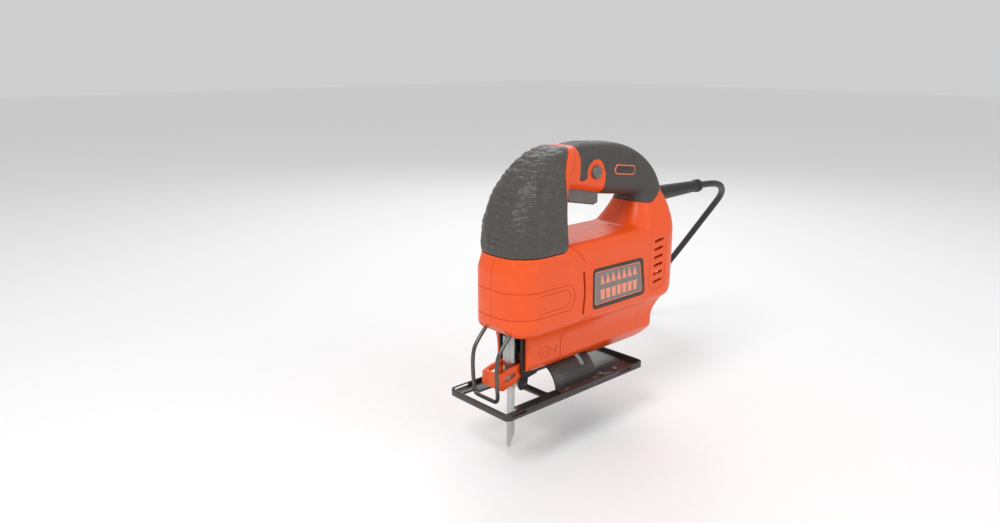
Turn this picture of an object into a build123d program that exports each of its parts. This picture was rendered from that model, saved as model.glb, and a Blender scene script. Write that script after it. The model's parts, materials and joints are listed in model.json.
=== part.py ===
"""A corded jigsaw with a D handle: clamshell casing, motor, gear and scotch yoke, plunger and blade, tilting shoe.

Frame, in millimetres: the origin is the centre of the sole, the flat underside of the shoe.
+Z is up, -X is the way the saw cuts, so the nose is at -X and the lead at +X. -Y is the operator's left.
"""

import math
import os

from build123d import *

os.makedirs("parts", exist_ok=True)

# --- driving dimensions -------------------------------------------------------------------------
# Casing
BODY_FRONT = -67.5  # the motor body stands proud of the nose
NOSE_X = -64.0  # front of the nose
REAR_X = 136.0  # back of the motor body
BODY_HALF = 31.0  # half the width of the motor body
NOSE_HALF = 30.2
BODY_LOW = 56.0  # underside of the motor body
WAIST = 109.0  # where the motor body starts to draw in to the nose
SHOULDER = 116.0  # where its flanks round over to the deck
DECK = 124.0  # floor of the finger gap
NOSE_BACK = -11.0  # front of the finger gap
NOSE_CORNER = 25.0  # plan radius of the nose
KEEL_HALF = 18.9  # half the width of the lower body
KEEL_FRONT = -45.0
KEEL_REAR = 112.0
KEEL_LOW = 20.5  # underside of the lower body over the shoe's arch
SKIRT_LOW = 14.3  # underside behind the arch
TILT_BEVEL = 13.6  # flats under the lower body, which the shoe comes up against at 45 degrees
HANDLE_HALF = 17.5
WALL = 3.4
SKIN = 1.6  # thickness of the moulded-on rubber

# Blade, plunger and gear train
BLADE_FRONT = -50.5
BLADE_BACK = -42.3
BLADE_HALF = 0.65  # half the blade's thickness
BLADE_TIP = -46.0
SHANK_TOP = 51.0
STROKE = 18.0
PLUNGER_X = -46.4
PLUNGER_R = 5.0
PLUNGER_TOP = 139.5
CLAMP_R = 6.2
CLAMP_LOW = 20.0
CLAMP_TOP = 52.0
MOTOR_Z = 84.0
MODULE = 0.9
PINION_TEETH = 9
GEAR_TEETH = 41
GEAR_Z = MOTOR_Z + MODULE * (PINION_TEETH + GEAR_TEETH) / 2
GEAR_FRONT = -28.0
GEAR_WIDTH = 8.0
CRANK_R = STROKE / 2
CRANK_PIN_R = 3.0
ROLLER_OUT = 5.0  # crank roller
YOKE_PLAY = 2.2  # room above and below the crank roller, where the linkage is opened
RUN = 0.05  # radial running clearance
SHAFT_R = 4.0
BEARING_R = 9.5

# Shoe
SHOE_HALF_LONG = 82.0
SHOE_HALF = 35.0
SHEET = 2.0
RIM = 5.5  # height of the turned-up sides
ARCH_R = 24.0  # the shoe tilts about the X axis on this half cylinder
ARCH_FRONT = -17.0
ARCH_REAR = 31.0
BEVEL_X = 20.0  # the screw that locks the tilt

# Controls
LOCK_X = 30.5
LOCK_Z = 176.0
LOCK_R = 5.2

# Support roller, behind the blade
ROLLER_R = 5.0
ROLLER_X = -36.9
ROLLER_Z = 9.0
ROLLER_HALF = 3.4

# Wire guard
WIRE_R = 1.6

# Clamp lever
LEVER_X = -42.0
LEVER_Z = 24.0
LEVER_HALF = 10.4

# Mains lead
CORD_R = 3.25
FLOOR_Z = BLADE_TIP + 1.0  # the lead lies a strap's thickness above the blade tip's level
LEAD_Z = 144.0
GUARD_TIP = 202.0
COIL_CENTRE = (245.0, 176.0)
COIL_R = 36.0  # middle of the turns
COIL_OUT = COIL_R + CORD_R  # outer column of turns
COIL_IN = COIL_R - CORD_R  # inner column
COIL_BASE = FLOOR_Z + CORD_R
CORD_ROUTE = [
    (GUARD_TIP, 0, LEAD_Z), (224, 0, LEAD_Z), (247, 2.5, 139.5), (266, 12, 127), (276, 31, 107), (280, 52, 80),
    (281.5, 74, 50), (282.5, 97, 20), (283.3, 118, -10), (284, 137, -30), (284.2, 153, -40), (284.25, 176, COIL_BASE),
]
TAIL_ROUTE = [
    (277.75, 176, -22.25), (277.75, 194, -22.25), (268.75, 209.6, -22), (253.2, 218.6, -20), (235.2, 218.6, -17.5),
    (219.6, 209.6, -14.5), (210.6, 194, -11.5), (214.5, 176.5, -10.5),
]

# Case screws: X, Z and how far the boss reaches to each side
SCREWS = [
    (-30, 66, 28.5), (-59, 113, 20), (-3, 64, 28.5), (104, 64, 28.5), (122, 100, 26.5), (60, 168, 14.5),
    (112, 159, 14),
]


def save(piece, name):
    """Labels a finished piece and writes it to parts/."""
    piece.label = name
    export_step(piece, f"parts/{name}.step")


def block(x0, x1, half, z0, z1):
    """A closed box, centred on the parting plane."""
    with BuildPart() as made:
        with Locations(((x0 + x1) / 2, 0, (z0 + z1) / 2)):
            Box(x1 - x0, 2 * half, z1 - z0)
    return made.part


def rod(start, direction, radius, length, bore=0.0):
    """A cylinder, or a ring when it has a bore, from a point along a direction."""
    with BuildPart() as made:
        with BuildSketch(Plane(origin=start, z_dir=direction)):
            Circle(radius)
            if bore:
                Circle(bore, mode=Mode.SUBTRACT)
        extrude(amount=length)
    return made.part


def side_plate(points, half, corner=0.0):
    """A side outline in XZ as thick as twice half, its corners rounded."""
    with BuildPart() as made:
        with BuildSketch(Plane.XZ) as outline:
            with BuildLine():
                Polyline(*points, close=True)
            make_face()
            if corner:
                fillet(outline.vertices(), corner)
        extrude(amount=half, both=True)
    return made.part


def level_loft(sections, inset):
    """Rounded level sections joined from the lowest up: height, front, back, half width, front and back corners."""
    with BuildPart() as made:
        for level, front, back, half, front_corner, back_corner in sections:
            long, wide = back - front - 2 * inset, 2 * (half - inset)
            with BuildSketch(Plane.XY.offset(level)) as section:
                with Locations(((front + back) / 2, 0)):
                    Rectangle(long, wide)
                fillet(section.vertices().group_by(Axis.X)[0], front_corner - inset)
                fillet(section.vertices().group_by(Axis.X)[-1], max(back_corner - inset, 0.6))
        loft()
    return made.part


# --- casing volumes -----------------------------------------------------------------------------
def motor_body():
    """The wide body round the motor and the gears, its underside rounded, drawn in at the top to meet the nose."""
    with BuildPart() as made:
        with BuildSketch(Plane.XZ):
            with BuildLine():
                Polyline(
                    (BODY_FRONT, BODY_LOW + 9), (BODY_FRONT, WAIST), (REAR_X, WAIST), (REAR_X, BODY_LOW + 18),
                    (REAR_X - 19, BODY_LOW), (BODY_FRONT + 9, BODY_LOW), close=True,
                )
            make_face()
        extrude(amount=BODY_HALF, both=True)
        with BuildSketch() as plan:
            with Locations(((BODY_FRONT + REAR_X) / 2, 0)):
                Rectangle(REAR_X - BODY_FRONT, 2 * BODY_HALF)
            fillet(plan.vertices().group_by(Axis.X)[0], NOSE_CORNER)
            fillet(plan.vertices().group_by(Axis.X)[-1], 23)
        extrude(amount=2 * DECK, mode=Mode.INTERSECT)
        fillet(made.faces().sort_by(Axis.Z)[0].edges(), 7)
        with BuildSketch(Plane.XY.offset(WAIST)) as rear_plan:
            with Locations(((REAR_X - 6) / 2, 0)):
                Rectangle(REAR_X + 6, 2 * BODY_HALF)
            fillet(rear_plan.vertices().group_by(Axis.X)[-1], 23)
        extrude(amount=SHOULDER - WAIST)
        add(level_loft([
            (WAIST, BODY_FRONT, -3, BODY_HALF, NOSE_CORNER, 2),
            (SHOULDER + 3, NOSE_X + 1.5, -8, NOSE_HALF - 1.2, 24, 2)], 0))
    return made.part


def deck():
    """The rounded top of the motor body, under the finger gap."""
    drop = DECK - SHOULDER
    with BuildPart() as made:
        with BuildSketch(Plane.YZ.offset(NOSE_BACK - 6)):
            with BuildLine():
                Line((-BODY_HALF, SHOULDER), (BODY_HALF, SHOULDER))
                RadiusArc((BODY_HALF, SHOULDER), (BODY_HALF - drop, DECK), -drop)
                Line((BODY_HALF - drop, DECK), (drop - BODY_HALF, DECK))
                RadiusArc((drop - BODY_HALF, DECK), (-BODY_HALF, SHOULDER), -drop)
            make_face()
        extrude(amount=REAR_X - 24 - NOSE_BACK + 6)
    return made.part


def nose(inset):
    """The tall column above the gears: straight sides first, then sections that lean back to the crown."""
    straight = (NOSE_X, NOSE_BACK, NOSE_HALF, NOSE_CORNER, 4)
    sections = [
        (126, *straight), (142, -62.2, -11, 29.6, 24.5, 6), (158, -56.4, -8, 28, 23.5, 9),
        (172, -47.2, -2, 25.6, 21, 12),
        (184, -34.2, 6, 22.3, 17, 13), (192.5, -19.5, 12, 18.5, 13, 12), (198.2, -3, 12, 11, 7, 6.5),
    ]
    with BuildPart() as made:
        add(level_loft(sections, inset))
        with BuildSketch(Plane.XY.offset(SHOULDER - 4)) as base:
            front, back = NOSE_X + inset, NOSE_BACK - inset
            with Locations(((front + back) / 2, 0)):
                Rectangle(back - front, 2 * (NOSE_HALF - inset))
            fillet(base.vertices().group_by(Axis.X)[0], NOSE_CORNER - inset)
            fillet(base.vertices().group_by(Axis.X)[-1], max(4 - inset, 0.6))
        extrude(amount=130 - SHOULDER)
    return made.part


def shifted(points, distance):
    """Points of a side outline moved to the right of the way they run."""
    moved = []
    for index, (x, z) in enumerate(points):
        before = points[max(index - 1, 0)]
        after = points[min(index + 1, len(points) - 1)]
        run, rise = after[0] - before[0], after[1] - before[1]
        length = math.hypot(run, rise)
        moved.append((x + distance * rise / length, z - distance * run / length))
    return moved


def handle(inset):
    """The bar of the D handle, from the crown over the finger gap to the rear column."""
    upper = [(-2, 194.5), (14, 197.8), (50, 197.8), (80, 192), (106, 178), (122, 160), (129, 142)]
    lower = [(105, 140), (88, 149), (66, 153), (44, 156), (7, 163), (-14, 164)]
    with BuildPart() as made:
        with BuildSketch(Plane.XZ):
            with BuildLine():
                top = Spline(*shifted(upper, inset))
                low = Spline(*shifted(lower, inset))
                Line(top @ 1, low @ 0)
                Line(low @ 1, top @ 0)
            make_face()
        extrude(amount=HANDLE_HALF - inset, both=True)
        fillet(made.faces().filter_by(Axis.Y).edges(), 12 - inset)
    return made.part


def rear_column():
    """The flare from the back of the handle down to the motor body."""
    return level_loft(
        [(SHOULDER - 4, 70, REAR_X - 0.5, BODY_HALF - 0.6, 20, 22), (124, 76, 135, 28.5, 17, 19),
         (134, 83, 134, 23.5, 15, 15), (143, 88, 131.5, 19, 12, 12), (152, 94, 125, 14, 10, 10)], 0)


def keel():
    """The narrow lower body that stands on the shoe's arch, flared where it meets the motor body."""
    half, flat, flare = KEEL_HALF, KEEL_HALF - TILT_BEVEL, BODY_HALF - 2
    with BuildPart() as made:
        with BuildSketch(Plane.XZ):
            with BuildLine():
                Polyline(
                    (KEEL_FRONT, KEEL_LOW), (KEEL_FRONT, 66), (KEEL_REAR + 10, 66), (KEEL_REAR + 5, 50),
                    (KEEL_REAR, 40), (KEEL_REAR, 19), (KEEL_REAR - 5, SKIRT_LOW), (40, SKIRT_LOW), (36, KEEL_LOW),
                    close=True,
                )
            make_face()
        extrude(amount=flare, both=True)
        with BuildSketch(Plane.YZ.offset(KEEL_FRONT - 1)):
            with BuildLine():
                ThreePointArc((-flare, 60), (-half - 2.6, 50), (-half, 38))
                Polyline((-half, 38), (-half, SKIRT_LOW + TILT_BEVEL), (-flat, SKIRT_LOW), (flat, SKIRT_LOW),
                         (half, SKIRT_LOW + TILT_BEVEL), (half, 38))
                ThreePointArc((half, 38), (half + 2.6, 50), (flare, 60))
                Polyline((flare, 60), (flare, 66), (-flare, 66), (-flare, 60))
            make_face()
        extrude(amount=KEEL_REAR - KEEL_FRONT + 12, mode=Mode.INTERSECT)
    return made.part


# --- rubber skins -------------------------------------------------------------------------------
def nose_grip():
    """The skin round the nose column, above the gears."""
    edge = NOSE_BACK - 2
    with BuildPart() as made:
        with BuildSketch(Plane.XZ) as outline:
            with BuildLine():
                Polyline(
                    (-90, 119.5), (edge, 119.5), (edge, 178), (-8, 189), (4, 200), (4, 230), (-90, 230), close=True)
            make_face()
            fillet(outline.vertices().sort_by_distance((edge, 0, 119.5))[0], 8)
        extrude(amount=BODY_HALF + 5, both=True)
        add(nose(0), mode=Mode.INTERSECT)
        add(nose(SKIN), mode=Mode.SUBTRACT)
    return made.part


def handle_grip():
    """The skin along the handle, cut away round the trigger and the lock button."""
    with BuildPart() as made:
        with BuildSketch(Plane.XZ):
            with BuildLine():
                Polyline(
                    (13.5, 230), (13.5, 190), (13.5, 181), (19, 178), (42, 178), (42.5, 140), (66, 140),
                    (66, 147.5),
                    (104, 142.5), (114, 148), (121, 158), (140, 185), (140, 230), close=True,
                )
            make_face()
            with Locations((LOCK_X, LOCK_Z)):
                Circle(11, mode=Mode.SUBTRACT)
        extrude(amount=BODY_HALF, both=True)
        add(handle(0), mode=Mode.INTERSECT)
        add(handle(SKIN), mode=Mode.SUBTRACT)
        add(rear_column(), mode=Mode.SUBTRACT)
        add(trigger_well(), mode=Mode.SUBTRACT)
        add(handle_badge_solid(), mode=Mode.SUBTRACT)
    return made.part


# --- casing -------------------------------------------------------------------------------------
def hollows():
    """The volumes that the casing is hollowed by."""
    with BuildPart() as nose_room:
        add(nose(WALL + 1))
        add(block(-70, 20, BODY_HALF, SHOULDER - 4, 190), mode=Mode.INTERSECT)
    motor_room = block(NOSE_X + WALL, REAR_X - WALL, BODY_HALF - WALL, BODY_LOW + WALL, SHOULDER)
    with BuildPart() as rounded:
        add(motor_room)
        fillet(rounded.edges().filter_by(Axis.Z).group_by(Axis.X)[0], NOSE_CORNER - WALL)
        fillet(rounded.edges().filter_by(Axis.Z).group_by(Axis.X)[-1], 20)
        chamfer(rounded.faces().sort_by(Axis.Z)[0].edges().group_by(Axis.X)[-1], 12)
    keel_room = block(-33, 88, KEEL_HALF - WALL, 29, 66)
    deck_room = block(-9, 100, BODY_HALF - 10, SHOULDER - 6, DECK - WALL)
    column_room = side_plate([(84, 112), (90, 134), (100, 150), (122, 150), (128, 134), (130, 112)], 13.0)
    bar_room = side_plate(
        [(-10, 170), (-10, 187), (2, 191), (50, 191.5), (76, 187), (100, 174), (121, 150), (100, 148), (84, 155),
         (60, 160),
         (44, 162), (7, 169)], HANDLE_HALF - WALL - 0.8)
    return [nose_room.part, rounded.part, keel_room, deck_room, column_room, bar_room]


def ribs():
    """Walls and bosses inside the casing that hold bearings and screws."""
    made = [
        block(NOSE_X + WALL + 4.1, -33, 20, 129, 137), block(NOSE_X + WALL - 1, -36, 20, 73, 81),
        block(97, 101, BODY_HALF - 2, BODY_LOW + 2, SHOULDER - 4),
    ]
    made += [rod((x, -reach, z), (0, 1, 0), 4.2, 2 * reach) for x, z, reach in SCREWS]
    return made


def trigger_well():
    """The room that the trigger slides in."""
    return block(6.4, 44.1, 9.0, 140, 173)


def openings_in_casing():
    """Bores, wells and slots cut through the casing."""
    made = [
        rod((PLUNGER_X, 0, 60), (0, 0, 1), 9.0, 90),  # both plunger bearings
        block(-60, -38, 13, 50, 72.5),  # well that the blade clamp rises into
        block(KEEL_FRONT - 1, -36.6, 13.3, 16, 56),  # seat of the dust channel
        rod((KEEL_FRONT - 2, 0, 0), (1, 0, 0), ARCH_R + 0.4, 83.5),  # seat on the shoe's arch
        rod((BEVEL_X, 0, 20), (0, 0, 1), 2.5, 12),  # bevel screw
        trigger_well(),
        rod((LOCK_X, -30, LOCK_Z), (0, 1, 0), LOCK_R + 0.2, 18),  # lock button
        rod((84, 0, 29), (1, 0, 0), 9.5, 40),  # dust outlet
        rod((92, 0, MOTOR_Z), (1, 0, 0), BEARING_R, 12),  # rear bearing
        rod((118, 0, LEAD_Z), (1, 0, 0), 7.0, 40),  # cord guard
        rod((117.8, 0, LEAD_Z), (1, 0, 0), 9.2, 4),  # its flange
        fork_solid(),
    ]
    for side in (-1, 1):
        made.append(rod((-52, side * 14, 67), (-1, 0, -1), WIRE_R, 18))
        for row in range(6):
            z = 72.5 + 7.3 * row
            slot = side_plate([(95, z), (95, z + 2.6), (108, z + 3.8), (108, z + 1.2)], 60)
            made.append(slot.moved(Location((0, side * (60 + BODY_HALF - 12), 0))))
        gear_slot = side_plate([(3, 65), (5.5, 65), (7.5, 83), (5.5, 101), (3, 101), (5, 83)], 60)
        made.append(gear_slot.moved(Location((0, side * (60 + BODY_HALF - 8), 0))))
    for x, z, reach in SCREWS:
        made.append(rod((x, -reach + 5, z), (0, 1, 0), 1.6, 60))
        made.append(rod((x, reach - 4, z), (0, 1, 0), 3.6, 24))
    return made


def casing():
    """Both shells as one, to be split on the parting plane."""
    with BuildPart() as made:
        for volume in (motor_body(), deck(), nose(0), handle(0), rear_column(), keel()):
            add(volume)
        add([nose_grip(), handle_grip()], mode=Mode.SUBTRACT)
        for room in hollows():
            add(room, mode=Mode.SUBTRACT)
        for rib in ribs():
            add(rib)
        add(openings_in_casing(), mode=Mode.SUBTRACT)
        add([badge_solid(-1), badge_solid(1), handle_badge_solid()], mode=Mode.SUBTRACT)
    return made.part


def badge_solid(side):
    """A name plate on the flank of the motor body."""
    with BuildPart() as made:
        with BuildSketch(Plane.XZ) as outline:
            with BuildLine():
                Polyline((15, 66), (14, 101), (79, 100), (84, 66), close=True)
            make_face()
            fillet(outline.vertices(), 5)
        extrude(amount=0.7, both=True)
    return made.part.moved(Location((0, side * (BODY_HALF + 0.1), 0)))


def handle_badge_solid():
    """The small plate let into the left side of the handle."""
    with BuildPart() as made:
        with BuildSketch(Plane(origin=(67, -HANDLE_HALF - 0.2, 174), x_dir=(1, 0, -0.16), z_dir=(0, -1, 0))):
            RectangleRounded(31, 9, 3)
        extrude(amount=-1.2)
    return made.part


def fork_solid():
    """The stem and arms that carry the support roller."""
    with BuildPart() as made:
        add(side_plate([
            (-41, 4.5), (-34.5, 4.5), (-33, 13.5), (-23, 15), (-23, 34), (-34, 34), (-37.6, 22), (-41, 13)], 6.6))
        add(block(-43, -31.2, ROLLER_HALF + 0.2, 0, 15.5), mode=Mode.SUBTRACT)
        with BuildSketch(Plane.XZ.offset(10)):
            with Locations((ROLLER_X, ROLLER_Z)):
                Circle(1.5)
        extrude(amount=-20, mode=Mode.SUBTRACT)
    return made.part


def wire_guard_solid():
    """The bent wire in front of the blade, its two ends held in the casing."""
    legs = [(-52, -14, 67), (-70, -14, 49), (-74.2, -14, 37), (-73, -14, 5.8)]
    mirrored = [(x, -y, z) for x, y, z in reversed(legs)]
    with BuildPart() as made:
        with BuildLine() as path:
            FilletPolyline(*legs, *mirrored, radius=7)
        with BuildSketch(Plane(origin=path.line @ 0, z_dir=path.line % 0)):
            Circle(WIRE_R)
        sweep()
    return made.part


def write_halves(whole, first, second):
    """Splits a piece on the parting plane and writes the left (-Y) and right (+Y) sides."""
    for name, side in ((first, -1), (second, 1)):
        with BuildPart() as half:
            add(whole)
            with Locations((0, side * 100, 100)):
                Box(500, 200, 400, mode=Mode.INTERSECT)
        save(half.part, name)


# --- pieces of the housing body -----------------------------------------------------------------
def make_badges():
    """Name plates on both flanks and on the handle."""
    save(badge_solid(-1), "badge_plate_left")
    save(badge_solid(1), "badge_plate_right")
    save(handle_badge_solid(), "handle_badge")


def make_case_screws():
    """The screws that close the shells, in from the right, as one group of solids."""
    with BuildPart() as screws:
        for x, z, reach in SCREWS:
            add(rod((x, -reach + 5, z), (0, 1, 0), 1.6, 2 * reach - 9))
            with BuildSketch(Plane(origin=(x, reach - 4, z), z_dir=(0, 1, 0))):
                Circle(3.5)
                RegularPolygon(1.7, 6, mode=Mode.SUBTRACT)
            extrude(amount=2.4)
    save(screws.part, "case_screws")


def make_wire_guard():
    """The wire that keeps fingers off the blade."""
    save(wire_guard_solid(), "wire_guard")


def make_roller_fork():
    """Arms and pin of the support roller."""
    save(fork_solid(), "roller_fork")
    save(rod((ROLLER_X, -6.6, ROLLER_Z), (0, 1, 0), 1.5, 13.2), "roller_pin")


def make_dust_channel():
    """The channel behind the blade that draws the dust in, open to the front and below."""
    with BuildPart() as channel:
        with BuildSketch(Plane.XY.offset(18)):
            with Locations((-41.8, 0)):
                Rectangle(10.4, 26.6)
            with Locations((-42.5, 0)):
                Rectangle(9, 22.6, mode=Mode.SUBTRACT)
        extrude(amount=37)
        add(rod((KEEL_FRONT - 4, 0, 0), (1, 0, 0), ARCH_R + 0.4, 20), mode=Mode.SUBTRACT)
        add(block(-48, -36, 7.0, 10, 35), mode=Mode.SUBTRACT)
    save(channel.part, "dust_channel")


def make_plunger_bearings():
    """Sintered bushes above and below the yoke."""
    for name, low in (("plunger_bearing_upper", 128.0), ("plunger_bearing_lower", 73.0)):
        save(rod((PLUNGER_X, 0, low), (0, 0, 1), 9.0, 9.5, PLUNGER_R + RUN), name)


def make_gearbox_plate():
    """Aluminium plate that carries the motor's front bearing and the gear's axle."""
    with BuildPart() as plate:
        with BuildSketch(Plane.YZ.offset(-12)) as outline:
            with Locations((0, 92.5)):
                Rectangle(52, 45)
            fillet(outline.vertices(), 8)
            with Locations((0, MOTOR_Z)):
                Circle(BEARING_R, mode=Mode.SUBTRACT)
            with Locations((0, GEAR_Z)):
                Circle(SHAFT_R, mode=Mode.SUBTRACT)
            with Locations((-20, 76), (20, 76), (-20, 108), (20, 108)):
                Circle(1.8, mode=Mode.SUBTRACT)
        extrude(amount=6)
    save(plate.part, "gearbox_plate")
    save(rod((GEAR_FRONT - 2, 0, GEAR_Z), (1, 0, 0), SHAFT_R, -6 - GEAR_FRONT + 2), "gear_axle")


def make_motor_bearings():
    """Ball bearings of the armature, as rings."""
    save(rod((-12, 0, MOTOR_Z), (1, 0, 0), BEARING_R, 6, SHAFT_R + RUN), "front_bearing")
    save(rod((96, 0, MOTOR_Z), (1, 0, 0), BEARING_R, 6, SHAFT_R + RUN), "rear_bearing")


FIELD_FRONT = 22.0
FIELD_REAR = 66.0
FIELD_OUT = 24.0
POLE_R = 16.6  # face of the poles
COIL_ARC = 32.0  # half the angle that each winding fills, above and below


def winding_sector(middle, half_angle, inner, outer, x0, x1):
    """A ring sector about the motor's axis, its middle at an angle from +Y."""
    reach = 2 * outer
    corners = [(0, 0)]
    for turn in (-half_angle, 0, half_angle):
        angle = math.radians(middle + turn)
        corners.append((reach * math.cos(angle), reach * math.sin(angle)))
    with BuildPart() as made:
        add(rod((x0, 0, 0), (1, 0, 0), outer, x1 - x0, inner))
        with BuildSketch(Plane.YZ.offset(x0)):
            with BuildLine():
                Polyline(*corners, close=True)
            make_face()
        extrude(amount=x1 - x0, mode=Mode.INTERSECT)
    return made.part.moved(Location((0, 0, MOTOR_Z)))


def make_stator():
    """Field core with its two poles, and the windings above and below them."""
    with BuildPart() as core:
        add(rod((FIELD_FRONT, 0, MOTOR_Z), (1, 0, 0), FIELD_OUT, FIELD_REAR - FIELD_FRONT, POLE_R))
        for middle in (90, 270):
            add(winding_sector(middle, COIL_ARC, POLE_R - 1, 20.5, FIELD_FRONT, FIELD_REAR), mode=Mode.SUBTRACT)
    save(core.part, "stator_core")
    with BuildPart() as windings:
        add(rod((FIELD_FRONT - 5, 0, MOTOR_Z), (1, 0, 0), 22.5, 5, 17))
        add(rod((FIELD_REAR, 0, MOTOR_Z), (1, 0, 0), 22.5, 5, 17))
        for middle in (90, 270):
            add(winding_sector(middle, COIL_ARC - 2, 17, 20.2, FIELD_FRONT, FIELD_REAR))
    save(windings.part, "stator_windings")


def make_brushes():
    """Brush holders and carbon brushes on each side of the commutator."""
    with BuildPart() as holders:
        for side in (-1, 1):
            with BuildSketch(Plane(origin=(79, side * 10, MOTOR_Z), z_dir=(0, side, 0))):
                Rectangle(10, 9)
                Rectangle(7, 6, mode=Mode.SUBTRACT)
            extrude(amount=16)
    save(holders.part, "brush_holders")
    with BuildPart() as brushes:
        for side in (-1, 1):
            with BuildSketch(Plane(origin=(79, side * 9.1, MOTOR_Z), z_dir=(0, side, 0))):
                Rectangle(7, 6)
            extrude(amount=10)
    save(brushes.part, "carbon_brushes")


def make_switch():
    """The switch over the trigger and the spring that returns it."""
    with BuildPart() as switch:
        add(block(9, 43, 9.5, 178.8, 189.5))
        fillet(switch.edges().filter_by(Axis.Z), 2)
    save(switch.part, "switch")
    with BuildPart() as spring:
        with BuildLine(Plane.XY.offset(172.1)):
            coil = Helix(2.0, 6.2, 2.6, center=(25, 0, 0))
        with BuildSketch(Plane(origin=coil @ 0, z_dir=coil % 0)):
            Circle(0.4)
        sweep()
    save(spring.part, "trigger_spring")


def make_bevel_lock():
    """Screw and nut that clamp the shoe's arch to the casing."""
    with BuildPart() as screw:
        add(rod((BEVEL_X, 0, 16.4), (0, 0, 1), 4.4, 4.9))
        add(rod((BEVEL_X, 0, 21.3), (0, 0, 1), 2.5, 13))
        with BuildSketch(Plane.XY.offset(16.4)):
            with Locations((BEVEL_X, 0)):
                RegularPolygon(2.9, 6)
        extrude(amount=3, mode=Mode.SUBTRACT)
    save(screw.part, "bevel_screw")
    with BuildPart() as nut:
        with BuildSketch(Plane.XY.offset(29)):
            with Locations((BEVEL_X, 0)):
                RegularPolygon(4.6, 6)
                Circle(2.5, mode=Mode.SUBTRACT)
        extrude(amount=4)
    save(nut.part, "bevel_nut")


def make_cord_guard():
    """Tapered sleeve where the lead leaves the casing, with its ribs, flange and end collar."""
    with BuildPart() as guard:
        with BuildSketch(Plane.XZ):
            with BuildLine():
                Polyline((118, LEAD_Z + CORD_R), (118, LEAD_Z + 9), (121.5, LEAD_Z + 9), (121.5, LEAD_Z + 7),
                         (139, LEAD_Z + 7), (197, LEAD_Z + 5.3), (197, LEAD_Z + 6.2), (GUARD_TIP, LEAD_Z + 6.2),
                         (GUARD_TIP, LEAD_Z + CORD_R), close=True)
            make_face()
        revolve(axis=Axis((0, 0, LEAD_Z), (1, 0, 0)))
    save(guard.part, "cord_guard")
    with BuildPart() as clamp:
        with BuildSketch(Plane.YZ.offset(104)):
            with Locations((0, LEAD_Z)):
                Rectangle(22, 9)
                Circle(CORD_R, mode=Mode.SUBTRACT)
        extrude(amount=7)
    save(clamp.part, "cord_clamp")
    save(rod((98, 0, LEAD_Z), (1, 0, 0), CORD_R, GUARD_TIP - 98), "lead_inside")


# --- shoe ---------------------------------------------------------------------------------------
def make_shoe():
    """Pressed steel shoe with turned-up edges, and the half cylinder that it tilts on."""
    side_gap = 15.0
    with BuildPart() as plate:
        with BuildSketch() as outline:
            Rectangle(2 * SHOE_HALF_LONG, 2 * SHOE_HALF)
            fillet(outline.vertices(), 5)
        extrude(amount=RIM)
        with BuildSketch(Plane.XY.offset(SHEET)) as tray:
            Rectangle(2 * SHOE_HALF_LONG - 2 * SHEET, 2 * SHOE_HALF - 2 * SHEET)
            fillet(tray.vertices(), 3)
        extrude(amount=RIM, mode=Mode.SUBTRACT)
        with BuildSketch():
            with BuildLine():
                Polyline((-77, -26), (-62, -26), (-62, -20.5), (-31.4, -20.5), (-31.4, 20.5), (-62, 20.5),
                         (-62, 26),
                         (-77, 26), close=True)
            make_face()
            with Locations((3, 0)):
                RectangleRounded(54, 40, 2)
        extrude(amount=RIM, mode=Mode.SUBTRACT)
        # slots in the sides that take the bar of a parallel fence
        for x in (-70, 56):
            with Locations((x, 0, SHEET + 1.6)):
                Box(side_gap, 2 * SHOE_HALF + 2, 2.2, mode=Mode.SUBTRACT)
        chamfer(plate.faces().sort_by(Axis.Z)[-1].edges().filter_by(Axis.X), 0.5)
    save(plate.part, "shoe_plate")
    with BuildPart() as arch:
        add(rod((ARCH_FRONT, 0, 0), (1, 0, 0), ARCH_R, ARCH_REAR - ARCH_FRONT, ARCH_R - 2))
        add(block(ARCH_FRONT - 1, ARCH_REAR + 1, SHOE_HALF, SHEET - 40, SHEET), mode=Mode.SUBTRACT)
        add(block(BEVEL_X - 3, BEVEL_X + 3, 19.2, 13.4, 30), mode=Mode.SUBTRACT)
        for side in (-1, 1):
            with Locations(((ARCH_FRONT + ARCH_REAR) / 2, side * 26.5, SHEET + 0.8)):
                Box(ARCH_REAR - ARCH_FRONT, 8, 1.6)
    save(arch.part, "shoe_arch")
    with BuildPart() as rivets:
        for x in (37, 55):
            for side in (-1, 1):
                add(rod((x, side * 24, SHEET), (0, 0, 1), 2.4, 0.9))
        for x in (ARCH_FRONT + 7, ARCH_REAR - 7):
            for side in (-1, 1):
                add(rod((x, side * 28, SHEET + 1.6), (0, 0, 1), 1.9, 0.8))
    save(rivets.part, "shoe_rivets")


# --- motor and gears ----------------------------------------------------------------------------
def toothed(teeth, turn, plane, width):
    """A straight-flanked gear, one tooth at a turn from the plane's x axis, in degrees."""
    pitch = MODULE * teeth / 2
    play = 0.24
    thickness = math.pi * MODULE / 2 - play
    levels = [
        (pitch - 1.2 * MODULE, thickness + 0.8 * MODULE), (pitch, thickness),
        (pitch + 0.9 * MODULE, thickness - 0.7 * MODULE)]
    points = []
    for tooth in range(teeth):
        middle = math.radians(turn + 360 * tooth / teeth)
        flank = [(radius, wide / 2 / radius) for radius, wide in levels]
        for radius, half in flank:
            points.append((radius * math.cos(middle - half), radius * math.sin(middle - half)))
        for radius, half in reversed(flank):
            points.append((radius * math.cos(middle + half), radius * math.sin(middle + half)))
    with BuildPart() as made:
        with BuildSketch(plane):
            with BuildLine():
                Polyline(*points, close=True)
            make_face()
        extrude(amount=width)
    return made.part


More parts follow.
